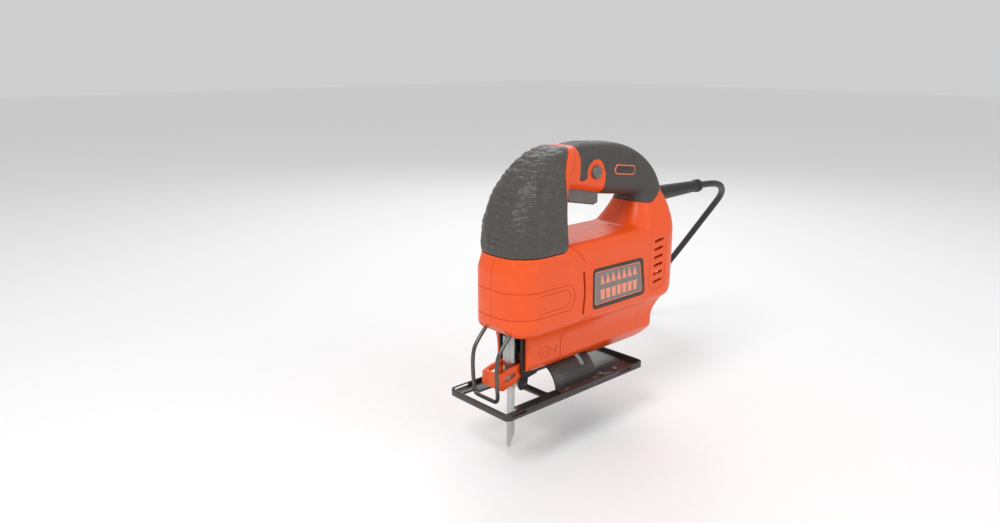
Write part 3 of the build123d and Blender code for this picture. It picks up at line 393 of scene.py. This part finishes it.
def prism(name: str, outline_mm: Sequence[Point2], low_mm: float, high_mm: float) -> bpy.types.Object:
    """Extrudes a side outline, given as X and Z, from one Y to another.

    Args:
        name: The piece's name.
        outline_mm: Corners in order.
        low_mm: The lower Y.
        high_mm: The higher Y.

    Returns:
        The new piece, closed and facing outwards.
    """
    bpy.ops.object.select_all(action="DESELECT")
    bpy.ops.mesh.primitive_circle_add(vertices=len(outline_mm), radius=0.01, fill_type="NGON")
    piece = bpy.context.object
    piece.name = name
    for vertex, (x, z) in zip(piece.data.vertices, outline_mm):
        vertex.co = (x * MM, low_mm * MM, z * MM)
    bpy.ops.object.mode_set(mode="EDIT")
    bpy.ops.mesh.select_all(action="SELECT")
    bpy.ops.mesh.extrude_region_move(TRANSFORM_OT_translate={"value": (0, (high_mm - low_mm) * MM, 0)})
    bpy.ops.mesh.select_all(action="SELECT")
    bpy.ops.mesh.normals_make_consistent(inside=False)
    bpy.ops.object.mode_set(mode="OBJECT")
    return piece


def cut(piece: bpy.types.Object, tool: bpy.types.Object, operation: str = "DIFFERENCE", keep_tool: bool = False) -> bpy.types.Object:
    """Cuts a piece with a tool, or keeps what they share.

    Args:
        piece: The closed mesh to change.
        tool: The closed mesh that cuts it.
        operation: DIFFERENCE, INTERSECT or UNION.
        keep_tool: Whether the tool stays in the scene.

    Returns:
        The piece.
    """
    modify(piece, "BOOLEAN", operation=operation, object=tool, solver="MANIFOLD")
    if not keep_tool:
        bpy.data.objects.remove(tool, do_unlink=True)
    return piece


def twin(piece: bpy.types.Object, name: str) -> bpy.types.Object:
    """Copies a piece with a mesh of its own."""
    made = piece.copy()
    made.data = piece.data.copy()
    made.name = name
    bpy.context.scene.collection.objects.link(made)
    return made


def smooth(piece: bpy.types.Object, degrees: float = 30.0) -> bpy.types.Object:
    """Shades a piece smooth except over edges sharper than an angle."""
    only(piece)
    bpy.ops.object.shade_smooth_by_angle(angle=math.radians(degrees))
    return piece


def dress(piece: bpy.types.Object, finish: Finish) -> bpy.types.Object:
    """Gives a piece one finish all over."""
    piece.data.materials.clear()
    piece.data.materials.append(finish.material())
    return piece


def place(piece: bpy.types.Object, body: str, slot: str, *nodes: str) -> bpy.types.Object:
    """Rides a piece on a body and hides the CAD nodes that it stands for."""
    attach(piece, body)
    if nodes:
        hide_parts(*nodes)
    LOG.info("%s: %d faces", piece.name, len(piece.data.polygons) if piece.type == "MESH" else 0)
    return piece


def rounded_outline(corners: Sequence[tuple[float, float, float]], steps: int = 6) -> list[Point2]:
    """Rounds the corners of a closed outline.

    Args:
        corners: X, Z and radius of each corner.
        steps: Segments of each rounded corner.

    Returns:
        The points of the rounded outline.
    """
    points: list[Point2] = []
    count = len(corners)
    for index, (x, z, radius) in enumerate(corners):
        here = Vector((x, z))
        before = Vector(corners[index - 1][:2]) - here
        after = Vector(corners[(index + 1) % count][:2]) - here
        if radius <= 0:
            points.append((x, z))
            continue
        reach = min(radius, 0.49 * before.length, 0.49 * after.length)
        start, end = here + before.normalized() * reach, here + after.normalized() * reach
        for step in range(steps + 1):
            t = step / steps
            spot = start * (1 - t) ** 2 + here * 2 * t * (1 - t) + end * t * t
            points.append((spot.x, spot.y))
    return points


def stroke(points: Sequence[Point2], width_mm: float) -> list[Point2]:
    """Widens an open line of X and Z points to a closed outline.

    Args:
        points: The line's points.
        width_mm: How wide the outline is.

    Returns:
        The outline's corners.
    """
    left: list[Point2] = []
    right: list[Point2] = []
    for index, (x, z) in enumerate(points):
        before = Vector(points[max(index - 1, 0)])
        after = Vector(points[min(index + 1, len(points) - 1)])
        along = (after - before).normalized() * width_mm / 2
        left.append((x - along.y, z + along.x))
        right.append((x + along.y, z - along.x))
    return left + right[::-1]


def arc(centre: Point2, radius: Point2, start: float, end: float, steps: int = 24) -> list[Point2]:
    """Points of an elliptic arc in X and Z, from one angle in degrees to another."""
    angles = [math.radians(start + (end - start) * step / steps) for step in range(steps + 1)]
    return [(centre[0] + radius[0] * math.cos(a), centre[1] + radius[1] * math.sin(a)) for a in angles]


def edged(
    name: str, node: str, finish: Finish, slot: str, body: str, bevel_mm: float = 0.35, degrees: float = 32.0
) -> bpy.types.Object:
    """Makes a piece from a CAD node, with its flat faces whole again and its edges eased.

    Args:
        name: The piece's name.
        node: The node to copy and to stand for.
        finish: The piece's finish.
        slot: The record's material slot; not used.
        body: The body that the piece rides on.
        bevel_mm: How wide the eased edges are.
        degrees: The sharpest bend that isn't an edge.

    Returns:
        The new piece.
    """
    piece = copy_of(name, node)
    modify(piece, "DECIMATE", decimate_type="DISSOLVE", angle_limit=math.radians(0.6), delimit={"NORMAL"})
    modify(
        piece, "BEVEL", width=bevel_mm * MM, segments=2, limit_method="ANGLE", angle_limit=math.radians(degrees),
        use_clamp_overlap=True, miter_outer="MITER_ARC")
    smooth(dress(piece, finish), degrees)
    return place(piece, body, slot, node)


def kept(node: str, finish: Finish) -> None:
    """Leaves a CAD node showing and gives it its finish."""
    dress(frame["nodes"][node], finish)


# --- studio -------------------------------------------------------------------------------------
@dataclass
class Studio:
    """The camera, the pale floor and the soft lights."""

    eye: Point3 = (-0.4497, -0.4291, 0.2697)
    heading: float = 42.39
    dip: float = 14.97
    lens: float = 28.31
    sensor: float = 36.0
    floor_half: float = 6.0

    def camera(self) -> None:
        """Adds the camera."""
        data = bpy.data.cameras.new("camera")
        data.lens, data.sensor_width, data.clip_start = self.lens, self.sensor, 0.02
        eye = bpy.data.objects.new("camera", data)
        eye.location = self.eye
        eye.rotation_euler = (math.radians(90 - self.dip), 0, math.radians(-self.heading))
        bpy.context.scene.collection.objects.link(eye)
        bpy.context.scene.camera = eye

    def floor(self) -> None:
        """Adds the floor."""
        bpy.ops.object.select_all(action="DESELECT")
        bpy.ops.mesh.primitive_grid_add(x_subdivisions=8, y_subdivisions=8, size=2 * self.floor_half, location=(0, 0, FLOOR_Z))
        board = bpy.context.object
        board.name = "floor"
        dress(board, FLOOR_WHITE)

    def light(self, name: str, place_at: Point3, aim: Point3, size: float, watts: float) -> None:
        """Adds one soft square light.

        Args:
            name: The light's name.
            place_at: Where it stands.
            aim: The point that it faces.
            size: Its side.
            watts: Its power.
        """
        data = bpy.data.lights.new(name, "AREA")
        data.size, data.energy = size, watts
        lamp = bpy.data.objects.new(name, data)
        lamp.location = place_at
        lamp.rotation_euler = (Vector(aim) - Vector(place_at)).to_track_quat("-Z", "Y").to_euler()
        bpy.context.scene.collection.objects.link(lamp)

    def build(self) -> None:
        """Makes the whole studio."""
        self.camera()
        self.floor()
        aim = (0.03, 0.0, 0.09)
        self.light("key", (-0.85, -0.25, 1.05), aim, 0.5, 7.5)
        self.light("fill", (0.35, -1.35, 0.75), aim, 0.9, 4.0)
        self.light("rim", (0.75, 0.7, 0.9), aim, 0.7, 4.0)
        world = bpy.data.worlds.new("studio_air")
        world.use_nodes = True
        air = world.node_tree.nodes["Background"]
        air.inputs["Color"].default_value = linear("#FFFFFF")
        air.inputs["Strength"].default_value = 0.62
        bpy.context.scene.world = world
        bpy.context.scene.view_settings.view_transform = "Standard"


# --- mains lead ---------------------------------------------------------------------------------
@dataclass
class Lead:
    """The mains lead: a free fall to the floor, a stored coil, and a tail to the plug."""

    radius: float = 0.00325
    length: float = 2.0
    centre: Point2 = (0.245, 0.176)
    outer: float = 0.03925
    inner: float = 0.03275
    base: float = -0.04175
    points_a_turn: int = 16
    crossing: float = 0.2
    fall: list[Point3] = field(default_factory=lambda: [
        (0.202, 0, 0.144), (0.224, 0, 0.144), (0.247, 0.0025, 0.1395), (0.266, 0.012, 0.127), (0.276, 0.031, 0.107),
        (0.280, 0.052, 0.080), (0.2815, 0.074, 0.050), (0.2825, 0.097, 0.020), (0.2833, 0.118, -0.010),
        (0.284, 0.137, -0.030), (0.2842, 0.153, -0.040),
    ])
    tail: list[Point3] = field(default_factory=lambda: [
        (0.27775, 0.194, -0.02225), (0.26875, 0.2096, -0.022), (0.2532, 0.2186, -0.020), (0.2352, 0.2186, -0.0175),
        (0.2196, 0.2096, -0.0145), (0.2106, 0.194, -0.0115), (0.2145, 0.1765, -0.0105),
    ])

    def coil(self) -> list[Point3]:
        """Works out the turns: pairs side by side, each pair on the last, crossing over near the end of a turn.

        Returns:
            The control points, from the first turn's start to the last turn's end.
        """
        columns = [self.outer, self.inner, self.inner, self.outer, self.outer, self.inner, self.inner]
        layers = [0, 0, 1, 1, 2, 2, 3]
        wide = 1 / math.cos(math.pi / self.points_a_turn)
        points: list[Point3] = []
        for turn, (column, layer) in enumerate(zip(columns, layers)):
            last = turn == len(columns) - 1
            next_column, next_layer = (column, layer) if last else (columns[turn + 1], layers[turn + 1])
            for step in range(self.points_a_turn + last):
                share = step / self.points_a_turn
                moved = max(0.0, (share - 1 + self.crossing) / self.crossing)
                radius = (column + (next_column - column) * moved) * wide
                angle = math.tau * share
                height = self.base + 2 * self.radius * (layer + (next_layer - layer) * moved)
                points.append(
                    (self.centre[0] + radius * math.cos(angle), self.centre[1] + radius * math.sin(angle), height))
        return points

    def flex(self) -> bpy.types.Object:
        """Makes the lead as one smooth line with a round section."""
        curve = bpy.data.curves.new("mains_lead", "CURVE")
        curve.dimensions = "3D"
        curve.bevel_depth = self.radius
        curve.bevel_resolution = 6
        curve.resolution_u = 8
        curve.use_fill_caps = True
        route = [*self.fall, *self.coil(), *self.tail]
        line = curve.splines.new("NURBS")
        line.points.add(len(route) - 1)
        for point, spot in zip(line.points, route):
            point.co = (*spot, 1.0)
        line.order_u = 3
        line.use_endpoint_u = True
        flex = bpy.data.objects.new("mains_lead", curve)
        bpy.context.scene.collection.objects.link(flex)
        curve.materials.append(PVC.material())
        return flex

    def build(self) -> None:
        """Makes the lead and what is on it."""
        flex = self.flex()
        place(flex, "housing", "lead_rubber", "cord", "cord_coil", "cord_tail")
        plug = edged("mains_plug", "plug", PVC, "lead_rubber", "housing", 0.8)
        tie = edged("coil_strap", "cord_tie", RUBBER_PLAIN, "lead_rubber", "housing", 0.3)


# --- casing -------------------------------------------------------------------------------------
@dataclass
class Casing:
    """The clamshell casing with its rubber skins, all cut from one smooth body."""

    voxel: float = 1.0 * MM
    closing: float = 1.7 * MM
    groove: float = 0.6 * MM
    wall: float = 2.6 * MM
    gap_mm: float = 0.22
    reach_mm: float = 60.0
    vent_rows: int = 6
    screws: list[Point2] = field(default_factory=lambda: [
        (-30, 66), (-59, 113), (-3, 64), (104, 64), (122, 100), (60, 168), (112, 159)])
    nose_patch: list[tuple[float, float, float]] = field(default_factory=lambda: [
        (-90, 119.5, 0), (-13, 119.5, 9), (-13, 178, 10), (-8, 189, 8), (4, 200, 0), (4, 230, 0), (-90, 230, 0)])
    handle_patch: list[tuple[float, float, float]] = field(default_factory=lambda: [
        (12, 230, 0), (11.5, 186, 0), (11.5, 170.5, 4), (19, 170.5, 4), (24, 178, 0), (37, 178, 0), (42.5, 176, 0),
        (43, 140, 0), (66, 140, 0), (66, 147.5, 0), (104, 142.0, 6), (115, 148, 8), (122, 158, 8), (140, 185, 0),
        (140, 230, 0)])

    def volume(self) -> bpy.types.Object:
        """Makes the smooth body: the shells and skins of the frame, with their openings filled, rounded over.

        Returns:
            A closed mesh of the casing's outside, with no hollow in it.
        """
        body = copy_of(
            "casing_volume", "housing_left", "housing_right", "nose_grip_left", "nose_grip_right", "handle_grip_left",
            "handle_grip_right", "badge_plate_left", "badge_plate_right", "handle_badge", "case_screws")
        fillers = [
            box("filler", (-61, -14, 57.2), (-36, 14, 75)),
            prism("filler", [(5, 164.5), (45.5, 157.5), (45.5, 173), (5, 173)], -10.5, 10.5),
            bar("filler", (30.5, -17.0, 176), "Y", 5.8, 10),
            bar("filler", (96, 0, 29), "X", 10.5, 15),
            bar("filler", (110, 0, 144), "X", 10.0, 17),
            box("filler", (-34, -7, 16), (-22.5, 7, 35)),
        ]
        for x, z in self.screws:
            fillers.append(bar("filler", (x, 4, z), "Y", 4.0, 9))
        body = joined("casing_volume", [body, *fillers])
        modify(body, "REMESH", mode="VOXEL", voxel_size=self.voxel)
        modify(body, "DISPLACE", strength=self.closing, mid_level=0.0)
        modify(body, "REMESH", mode="VOXEL", voxel_size=1.2 * self.voxel)
        modify(body, "DISPLACE", strength=-self.closing, mid_level=0.0)
        modify(body, "SMOOTH", factor=0.5, iterations=14)
        modify(body, "REMESH", mode="VOXEL", voxel_size=1.1 * self.voxel)
        modify(body, "SMOOTH", factor=0.5, iterations=4)
        return body

    def offset(self, body: bpy.types.Object, name: str, depth: float, voxel: float) -> bpy.types.Object:
        """Copies the smooth body with its surface drawn in.

        Args:
            body: The smooth body.
            name: The copy's name.
            depth: How far in.
            voxel: The copy's grid.

        Returns:
            A closed mesh.
        """
        inner = twin(body, name)
        steps = max(1, round(depth / MM))
        for _ in range(steps):
            modify(inner, "DISPLACE", strength=-depth / steps, mid_level=0.0)
            modify(inner, "REMESH", mode="VOXEL", voxel_size=voxel)
            modify(inner, "SMOOTH", factor=0.5, iterations=2)
        return inner

    def patch(self, name: str, corners: Sequence[tuple[float, float, float]]) -> bpy.types.Object:
        """Makes a prism that marks out where a rubber skin is."""
        return prism(name, rounded_outline(corners), -self.reach_mm, self.reach_mm)

    def handle_region(self, name: str, ring_mm: float, grow_mm: float) -> bpy.types.Object:
        """Marks out the handle's skin, with the ring round the lock button left out.

        Args:
            name: The mark's name.
            ring_mm: The ring's radius.
            grow_mm: How much less the skin is drawn in at its lower edge.

        Returns:
            A closed mesh.
        """
        corners = [(x, z - grow_mm if z < 200 else z, r) for x, z, r in self.handle_patch]
        region = self.patch(name, corners)
        ring = bar("ring", (30.5, -self.reach_mm - 5, 176), "Y", ring_mm, 2 * self.reach_mm + 10, 96)
        return cut(region, ring)

    def seams(self) -> list[bpy.types.Object]:
        """Makes the tools that score the seams, the nose band's panel and the marks into the surface."""
        panel = [(-90.0, 93.5), (-18.0, 93.5), *arc((-15, 83), (9, 10.5), 90, -90), (-18.0, 72.5), (-90.0, 72.5)]
        inner = [(-44.0, 90.0), (-20.0, 90.0), *arc((-18, 83), (7, 7), 90, -90), (-20.0, 76.0), (-44.0, 76.0)]
        lines = [
            (panel, 0.8), (inner, 0.5),
            ([(-16.0, 127.0), (-7.0, 121.0), (0.0, 115.0), (5.0, 109.0)], 0.7),
            ([(14.0, 62.0), (4.0, 60.0), (-4.0, 57.0), (-8.0, 52.0), (-9.0, 46.0), (-8.6, 20.0)], 0.8),
            ([(90.5, 115.0), (89.5, 108.0), *arc((100, 74), (11, 7), 190, 350), (111.5, 110.0)], 0.5),
        ]
        tools = [prism("seam", stroke(points, width), -self.reach_mm, self.reach_mm) for points, width in lines]
        oval = arc((-27, 37.5), (6.5, 4.6), 0, 352, 40)
        saw = [(-31.0, 35.5), (-29.5, 39.0), (-28.0, 35.5), (-26.5, 39.0), (-25.0, 35.5), (-23.5, 39.0)]
        arrow = [(-14.0, 34.0), (-14.0, 41.0), (-17.5, 37.5), (-14.3, 34.2)]
        for mark in (oval, saw, arrow):
            tools.append(prism("mark", stroke(mark, 0.6), -self.reach_mm, -10))
        tools.append(box("parting", (-100, -0.2, 0), (200, 0.2, 240)))
        return tools

    def control_openings(self) -> list[bpy.types.Object]:
        """Makes the tools for the openings that go through the handle's skin too."""
        return [
            prism("trigger_slot", [(6.4, 140), (44.1, 140), (44.1, 174), (6.4, 174)], -9.0, 9.0),
            bar("lock_bore", (30.5, -30, 176), "Y", 5.5, 20),
            bar("guard_bore", (118, 0, 144), "X", 7.2, 40),
            *(bar("screw_bore", (x, 13, z), "Y", 3.7, 30, 40) for x, z in self.screws[-2:]),
        ]

    def wells(self) -> list[bpy.types.Object]:
        """Makes the tools for the clamp's well, the dust hood's seat and the seat on the shoe's arch."""
        return [
            box("well", (-59.5, -12.6, 40), (-38.5, 12.6, 73)),
            box("seat", (-60, -13.3, 14), (-36.6, 13.3, 56)),
            bar("arch_seat", (-47, 0, 0), "X", 24.4, 83.5, 128),
        ]

    def openings(self) -> list[bpy.types.Object]:
        """Makes the tools that cut the vents, slots, wells and bores through the shell."""
        tools = [*self.control_openings(), bar("dust_bore", (84, 0, 29), "X", 9.5, 40)]
        for side in (-1, 1):
            near, far = sorted((side * 18.0, side * self.reach_mm))
            for row in range(self.vent_rows):
                z = 72.5 + 7.3 * row
                slit = rounded_outline([(95, z, 1.2), (95, z + 2.5, 1.2), (108, z + 3.9, 1.2), (108, z + 1.4, 1.2)])
                tools.append(prism("vent", slit, near, far))
            slot = rounded_outline([(3, 65, 0.8), (5.4, 65, 0.8), (7.4, 83, 4), (5.4, 101, 0.8), (3, 101, 0.8), (5, 83, 4)])
            tools.append(prism("gear_slot", slot, near, far))
            plate = rounded_outline([(15, 66, 5), (14, 101, 5), (79, 100, 5), (84, 66, 5)])
            low, high = sorted((side * 29.7, side * self.reach_mm))
            tools.append(prism("plate_pocket", plate, low, high))
            tools.append(bar("wire_bore", (-63.5, side * 14, 50), "Z", 1.8, 14, 24))
        for x, z in self.screws[:-2]:
            tools.append(bar("screw_bore", (x, 13, z), "Y", 3.7, 30, 40))
        return tools

    def halves(
        self, piece: bpy.types.Object, names: Sequence[str], finish: Finish, slot: str, nodes: Sequence[Sequence[str]]
    ) -> None:
        """Splits a piece on the parting plane and places both sides.

        Args:
            piece: The whole piece.
            names: The left piece's name and the right one's.
            finish: Their finish.
            slot: Their material slot; not used.
            nodes: The CAD nodes that each stands for.
        """
        right = twin(piece, names[1])
        piece.name = names[0]
        cut(piece, box("side", (-200, -100, -20), (300, -0.02, 300)), "INTERSECT")
        cut(right, box("side", (-200, 0.02, -20), (300, 100, 300)), "INTERSECT")
        for half, stood_for in zip((piece, right), nodes):
            smooth(dress(half, finish), 35)
            place(half, "housing", slot, *stood_for)

    def ribbed(self, skin: bpy.types.Object, corners: Sequence[tuple[float, float, float]], nose: bool) -> None:
        """Raises wavy ribs on a skin and rounds its border.

        Args:
            skin: The skin's mesh.
            corners: The outline of its patch.
            nose: Whether it is the nose's skin, whose ribs are bolder than the handle's.
        """
        outline = [Vector(point) for point in rounded_outline(corners)]
        edges = list(zip(outline, outline[1:] + outline[:1]))
        normals = [vertex.normal.copy() for vertex in skin.data.vertices]
        for vertex, normal in zip(skin.data.vertices, normals):
            spot = vertex.co / MM
            flat = Vector((spot.x, spot.z))
            near = min(border_distance(flat, start, end) for start, end in edges)
            if near < 0.05 and abs(normal.y) < 0.9:
                near = 0.0
            fall = max(0.0, 1.4 - near)
            rounding = 1.4 - math.sqrt(max(0.0, 1.96 - fall * fall))
            height = self.rib(spot, nose) * min(1.0, max(0.0, near - 1.5) / 3)
            vertex.co += normal * (height - 0.55 * rounding) * MM

    def rib(self, spot: Vector, nose: bool) -> float:
        """Works out how far a skin stands out at a point, in millimetres."""
        waver = noise.noise(spot / 13) * 2.6 + noise.noise(spot / 5.5) * 0.9
        if nose:
            plain = smooth_step(-34, -22, spot.x) * (1 - smooth_step(146, 156, spot.z))
            pitch, depth = 5.4, 1.0
            bold = abs(math.sin(math.pi * (spot.z + waver * 1.3) / pitch))
            scale = 0.35 + 0.65 * smooth_step(-0.22, 0.22, noise.noise(Vector((spot.x, spot.y, spot.z * 0.5)) / 6))
            fine = 0.5 + 0.5 * math.sin(math.tau * spot.z / 3.6)
            return depth * (bold ** 0.6) * scale * (1 - plain) + 0.3 * fine * plain
        along = spot.x - 0.35 * spot.z
        ribs = 0.5 + 0.5 * math.sin(math.tau * (along + 0.4 * waver) / 4.2)
        top = smooth_step(176, 188, spot.z + 0.28 * max(0.0, spot.x - 50))
        gap = 1 - smooth_step(30, 36, spot.x) * (1 - smooth_step(52, 58, spot.x))
        return 0.5 * ribs * top * gap

    def build(self) -> None:
        """Makes the shells and the skins, in place of their CAD nodes."""
        body = self.volume()
        LOG.info("smooth body: %d faces", len(body.data.polygons))
        core = self.offset(body, "core", self.wall, 1.6 * self.voxel)
        scored = self.offset(body, "scored", self.groove, 1.1 * self.voxel)
        nose = twin(body, "nose_skin_left")
        handle = twin(body, "handle_skin_left")
        for skin, region, corners, is_nose in (
            (nose, self.patch("nose_region", self.nose_patch), self.nose_patch, True),
            (handle, self.handle_region("handle_region", 10.4 + self.gap_mm, 0.0), self.handle_patch, False),
        ):
            modify(skin, "DISPLACE", strength=0.25 * MM, mid_level=0.0)
            cut(skin, region, "INTERSECT")
            cut(skin, core, keep_tool=True)
            self.ribbed(skin, corners, is_nose)
        cut(handle, joined("controls", self.control_openings()))
        shell = body
        grown = [(x + self.gap_mm if x > -50 else x, z - self.gap_mm if z < 200 else z, r) for x, z, r in self.nose_patch]
        cut(shell, core)
        cut(shell, self.patch("nose_region", grown))
        cut(shell, self.handle_region("handle_region", 10.4, self.gap_mm))
        *lines, parting = self.seams()
        for tool in (joined("seam_lines", lines), parting):
            cut(shell, cut(tool, scored, keep_tool=True))
        bpy.data.objects.remove(scored, do_unlink=True)
        for tool in (joined("bores", self.openings()), *self.wells()):
            cut(shell, tool)
        self.halves(shell, ("shell_left", "shell_right"), ORANGE, "orange_plastic", (("housing_left",), ("housing_right",)))
        self.halves(
            nose, ("nose_skin_left", "nose_skin_right"), RUBBER, "grip_rubber",
            (("nose_grip_left",), ("nose_grip_right",)))
        self.halves(
            handle, ("handle_skin_left", "handle_skin_right"), RUBBER_PLAIN, "grip_rubber",
            (("handle_grip_left",), ("handle_grip_right",)))


def border_distance(spot: Vector, start: Vector, end: Vector) -> float:
    """Distance from a point to a line between two others."""
    along = end - start
    share = max(0.0, min(1.0, (spot - start).dot(along) / max(along.length_squared, 1e-9)))
    return (spot - start - along * share).length


def smooth_step(low: float, high: float, value: float) -> float:
    """Runs smoothly from 0 at low to 1 at high."""
    share = max(0.0, min(1.0, (value - low) / (high - low)))
    return share * share * (3 - 2 * share)


# --- name plates --------------------------------------------------------------------------------
@dataclass
class Plates:
    """The dark plates on the flanks and the small one on the handle, with a saw-tooth pictogram and no words."""

    outline: list[tuple[float, float, float]] = field(default_factory=lambda: [
        (15, 66, 5), (14, 101, 5), (79, 100, 5), (84, 66, 5)])

    def drawn_in(self, inset: float) -> list[Point2]:
        """Works out the plate's outline, drawn in by an inset."""
        middle = Vector((48, 83.2))
        corners = []
        for x, z, radius in self.outline:
            away = Vector((x, z)) - middle
            corners.append((x - math.copysign(inset, away.x), z - math.copysign(inset, away.y), max(1.0, radius - inset * 0.7)))
        return rounded_outline(corners, 8)

    def layer(self, name: str, points: Sequence[Point2], side: int, low: float, high: float) -> bpy.types.Object:
        """Makes one flat layer between two depths from the middle plane."""
        near, far = sorted((side * low, side * high))
        return prism(name, points, near, far)

    def flank(self, side: int) -> None:
        """Makes one flank's plate.

        Args:
            side: -1 for the left, 1 for the right.
        """
        hand = "left" if side < 0 else "right"
        frame_plate = self.layer(f"plate_frame_{hand}", self.drawn_in(0.15), side, 29.75, 31.3)
        cut(frame_plate, self.layer("well", self.drawn_in(3.4), side, 30.9, 32))
        modify(frame_plate, "BEVEL", width=0.4 * MM, segments=3, limit_method="ANGLE", angle_limit=math.radians(50))
        line = self.layer(f"plate_line_{hand}", self.drawn_in(3.5), side, 30.6, 31.05)
        cut(line, self.layer("well", self.drawn_in(4.3), side, 30, 32))
        field_plate = self.layer(f"plate_field_{hand}", self.drawn_in(4.5), side, 30.5, 30.98)
        marks = []
        for tooth in range(7):
            x = 24.5 + 7 * tooth
            marks.append(self.layer("mark", [(x, 86), (x + 5.6, 86), (x + 1.2, 95)], side, 30.9, 31.12))
            marks.append(self.layer("mark", [(x, 81.5), (x + 5.6, 81.5), (x + 5.6, 73), (x + 1.2, 73)], side, 30.9, 31.12))
        print_piece = joined(f"plate_print_{hand}", marks)
        for piece, finish in ((frame_plate, PLATE_DARK), (line, PRINT_ORANGE), (field_plate, PLATE_FIELD), (print_piece, PRINT_ORANGE)):
            smooth(dress(clean(piece), finish), 30)
            place(piece, "housing", "badge_dark")
        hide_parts(f"badge_plate_{hand}")

    def handle(self) -> None:
        """Makes the small tilted plate on the handle's left."""
        centre, slope = Vector((66.5, 174.5)), Vector((1, -0.13)).normalized()
        rise = Vector((-slope.y, slope.x))
        for name, long, tall, low, high, finish in (
            ("handle_plate_line", 27.5, 8.2, -18.35, -14.0, PRINT_ORANGE),
            ("handle_plate", 25.5, 6.4, -18.6, -14.0, PLATE_DARK),
        ):
            corners = []
            for a, b in ((-1, 0), (-0.86, 1), (0.86, 1), (1, 0), (0.86, -1), (-0.86, -1)):
                spot = centre + slope * a * long / 2 + rise * b * tall / 2
                corners.append((spot.x, spot.y, 1.2))
            piece = prism(name, rounded_outline(corners, 4), low, high)
            modify(piece, "BEVEL", width=0.3 * MM, segments=2, limit_method="ANGLE", angle_limit=math.radians(50))
            smooth(dress(piece, finish), 30)
            place(piece, "housing", "badge_dark")
        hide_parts("handle_badge")

    def build(self) -> None:
        """Makes all the plates."""
        for side in (-1, 1):
            self.flank(side)
        self.handle()


# --- pieces that keep their CAD shape -----------------------------------------------------------
@dataclass
class Mechanism:
    """The pieces whose CAD shape is right: each gets eased edges or only its finish."""

    outside: list[tuple[str, str, Finish, str, str, float]] = field(default_factory=lambda: [
        ("trigger_bar", "trigger", GREY_NYLON, "grey_plastic", "trigger", 0.25),
        ("lock_knob", "lock_button", GREY_NYLON, "grey_plastic", "lock", 0.3),
        ("sole", "shoe_plate", SHOE_BLACK, "shoe_black", "shoe", 0.45),
        ("tilt_saddle", "shoe_arch", SHOE_BLACK, "shoe_black", "shoe", 0.3),
        ("sole_rivets", "shoe_rivets", ZINC, "screw_steel", "shoe", 0.3),
        ("release_lever", "clamp_lever", LEVER_ORANGE, "orange_plastic", "lever", 0.7),
        ("chuck", "blade_clamp", ZINC, "bright_steel", "plunger", 0.3),
        ("blade", "saw_blade", BLADE_STEEL, "blade_steel", "plunger", 0.08),
        ("dust_hood", "dust_channel", BLACK_NYLON, "black_plastic", "housing", 0.4),
        ("roller_bracket", "roller_fork", BLACK_NYLON, "black_plastic", "housing", 0.4),
        ("backing_roller", "support_roller", BRIGHT_STEEL, "bright_steel", "roller", 0.3),
        ("lead_sleeve", "cord_guard", PVC, "lead_rubber", "housing", 0.5),
        ("case_screw_heads", "case_screws", ZINC, "screw_steel", "housing", 0.2),
    ])
    inside: list[tuple[Finish, tuple[str, ...]]] = field(default_factory=lambda: [
        (BRIGHT_STEEL, ("plunger", "yoke", "roller_pin", "gear_axle", "crank_pin", "crank_roller", "front_bearing",
                        "rear_bearing", "trigger_spring", "drive_gear", "armature_shaft")),
        (ZINC, ("bevel_screw", "bevel_nut")),
        (BRONZE, ("plunger_bearing_upper", "plunger_bearing_lower")),
        (ALUMINIUM, ("gearbox_plate",)),
        (IRON, ("stator_core", "armature_core")),
        (COPPER, ("stator_windings", "armature_windings", "commutator")),
        (CARBON, ("carbon_brushes",)),
        (BLACK_NYLON, ("switch", "brush_holders", "cooling_fan", "cord_clamp")),
        (PVC, ("lead_inside",)),
    ])

    def wire(self) -> None:
        """Bends the finger guard from one wire, with its ends in the casing."""
        leg = [(-51, 67.5), (-62, 57), (-68.5, 50), (-73, 44), (-74.6, 34), (-74.0, 20), (-73.2, 12)]
        foot = [(-73.0, -13.6, 8.0), (-73.0, -11.5, 5.9), (-73.0, -6.0, 5.7)]
        left = [(x, -14.0, z) for x, z in leg] + foot
        route = left + [(x, -y, z) for x, y, z in reversed(left)]
        curve = bpy.data.curves.new("finger_guard", "CURVE")
        curve.dimensions = "3D"
        curve.bevel_depth, curve.bevel_resolution, curve.resolution_u = 1.6 * MM, 5, 6
        curve.use_fill_caps = True
        line = curve.splines.new("NURBS")
        line.points.add(len(route) - 1)
        for point, spot in zip(line.points, route):
            point.co = (*(c * MM for c in spot), 1.0)
        line.order_u = 3
        line.use_endpoint_u = True
        guard = bpy.data.objects.new("finger_guard", curve)
        bpy.context.scene.collection.objects.link(guard)
        only(guard)
        bpy.ops.object.convert(target="MESH")
        smooth(dress(clean(bpy.context.object), DARK_STEEL), 40)
        place(bpy.context.object, "housing", "wire_steel", "wire_guard")

    def build(self) -> None:
        """Makes the outside pieces and finishes the inside ones."""
        for name, node, finish, slot, body, bevel in self.outside:
            piece = edged(name, node, finish, slot, body, bevel)
            if node == "trigger":
                piece.data.materials.append(TRIGGER_FACE.material())
                for face in piece.data.polygons:
                    face.material_index = int(face.normal.z < -0.25)
        self.wire()
        for finish, nodes in self.inside:
            for node in nodes:
                kept(node, finish)


def main() -> None:
    """Builds the studio, the lead and the saw."""
    logging.basicConfig(level=logging.INFO, format="%(relativeCreated)6d ms %(name)s: %(message)s")
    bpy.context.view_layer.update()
    Studio().build()
    Lead().build()
    Casing().build()
    Plates().build()
    Mechanism().build()


if __name__ == "__main__":
    main()
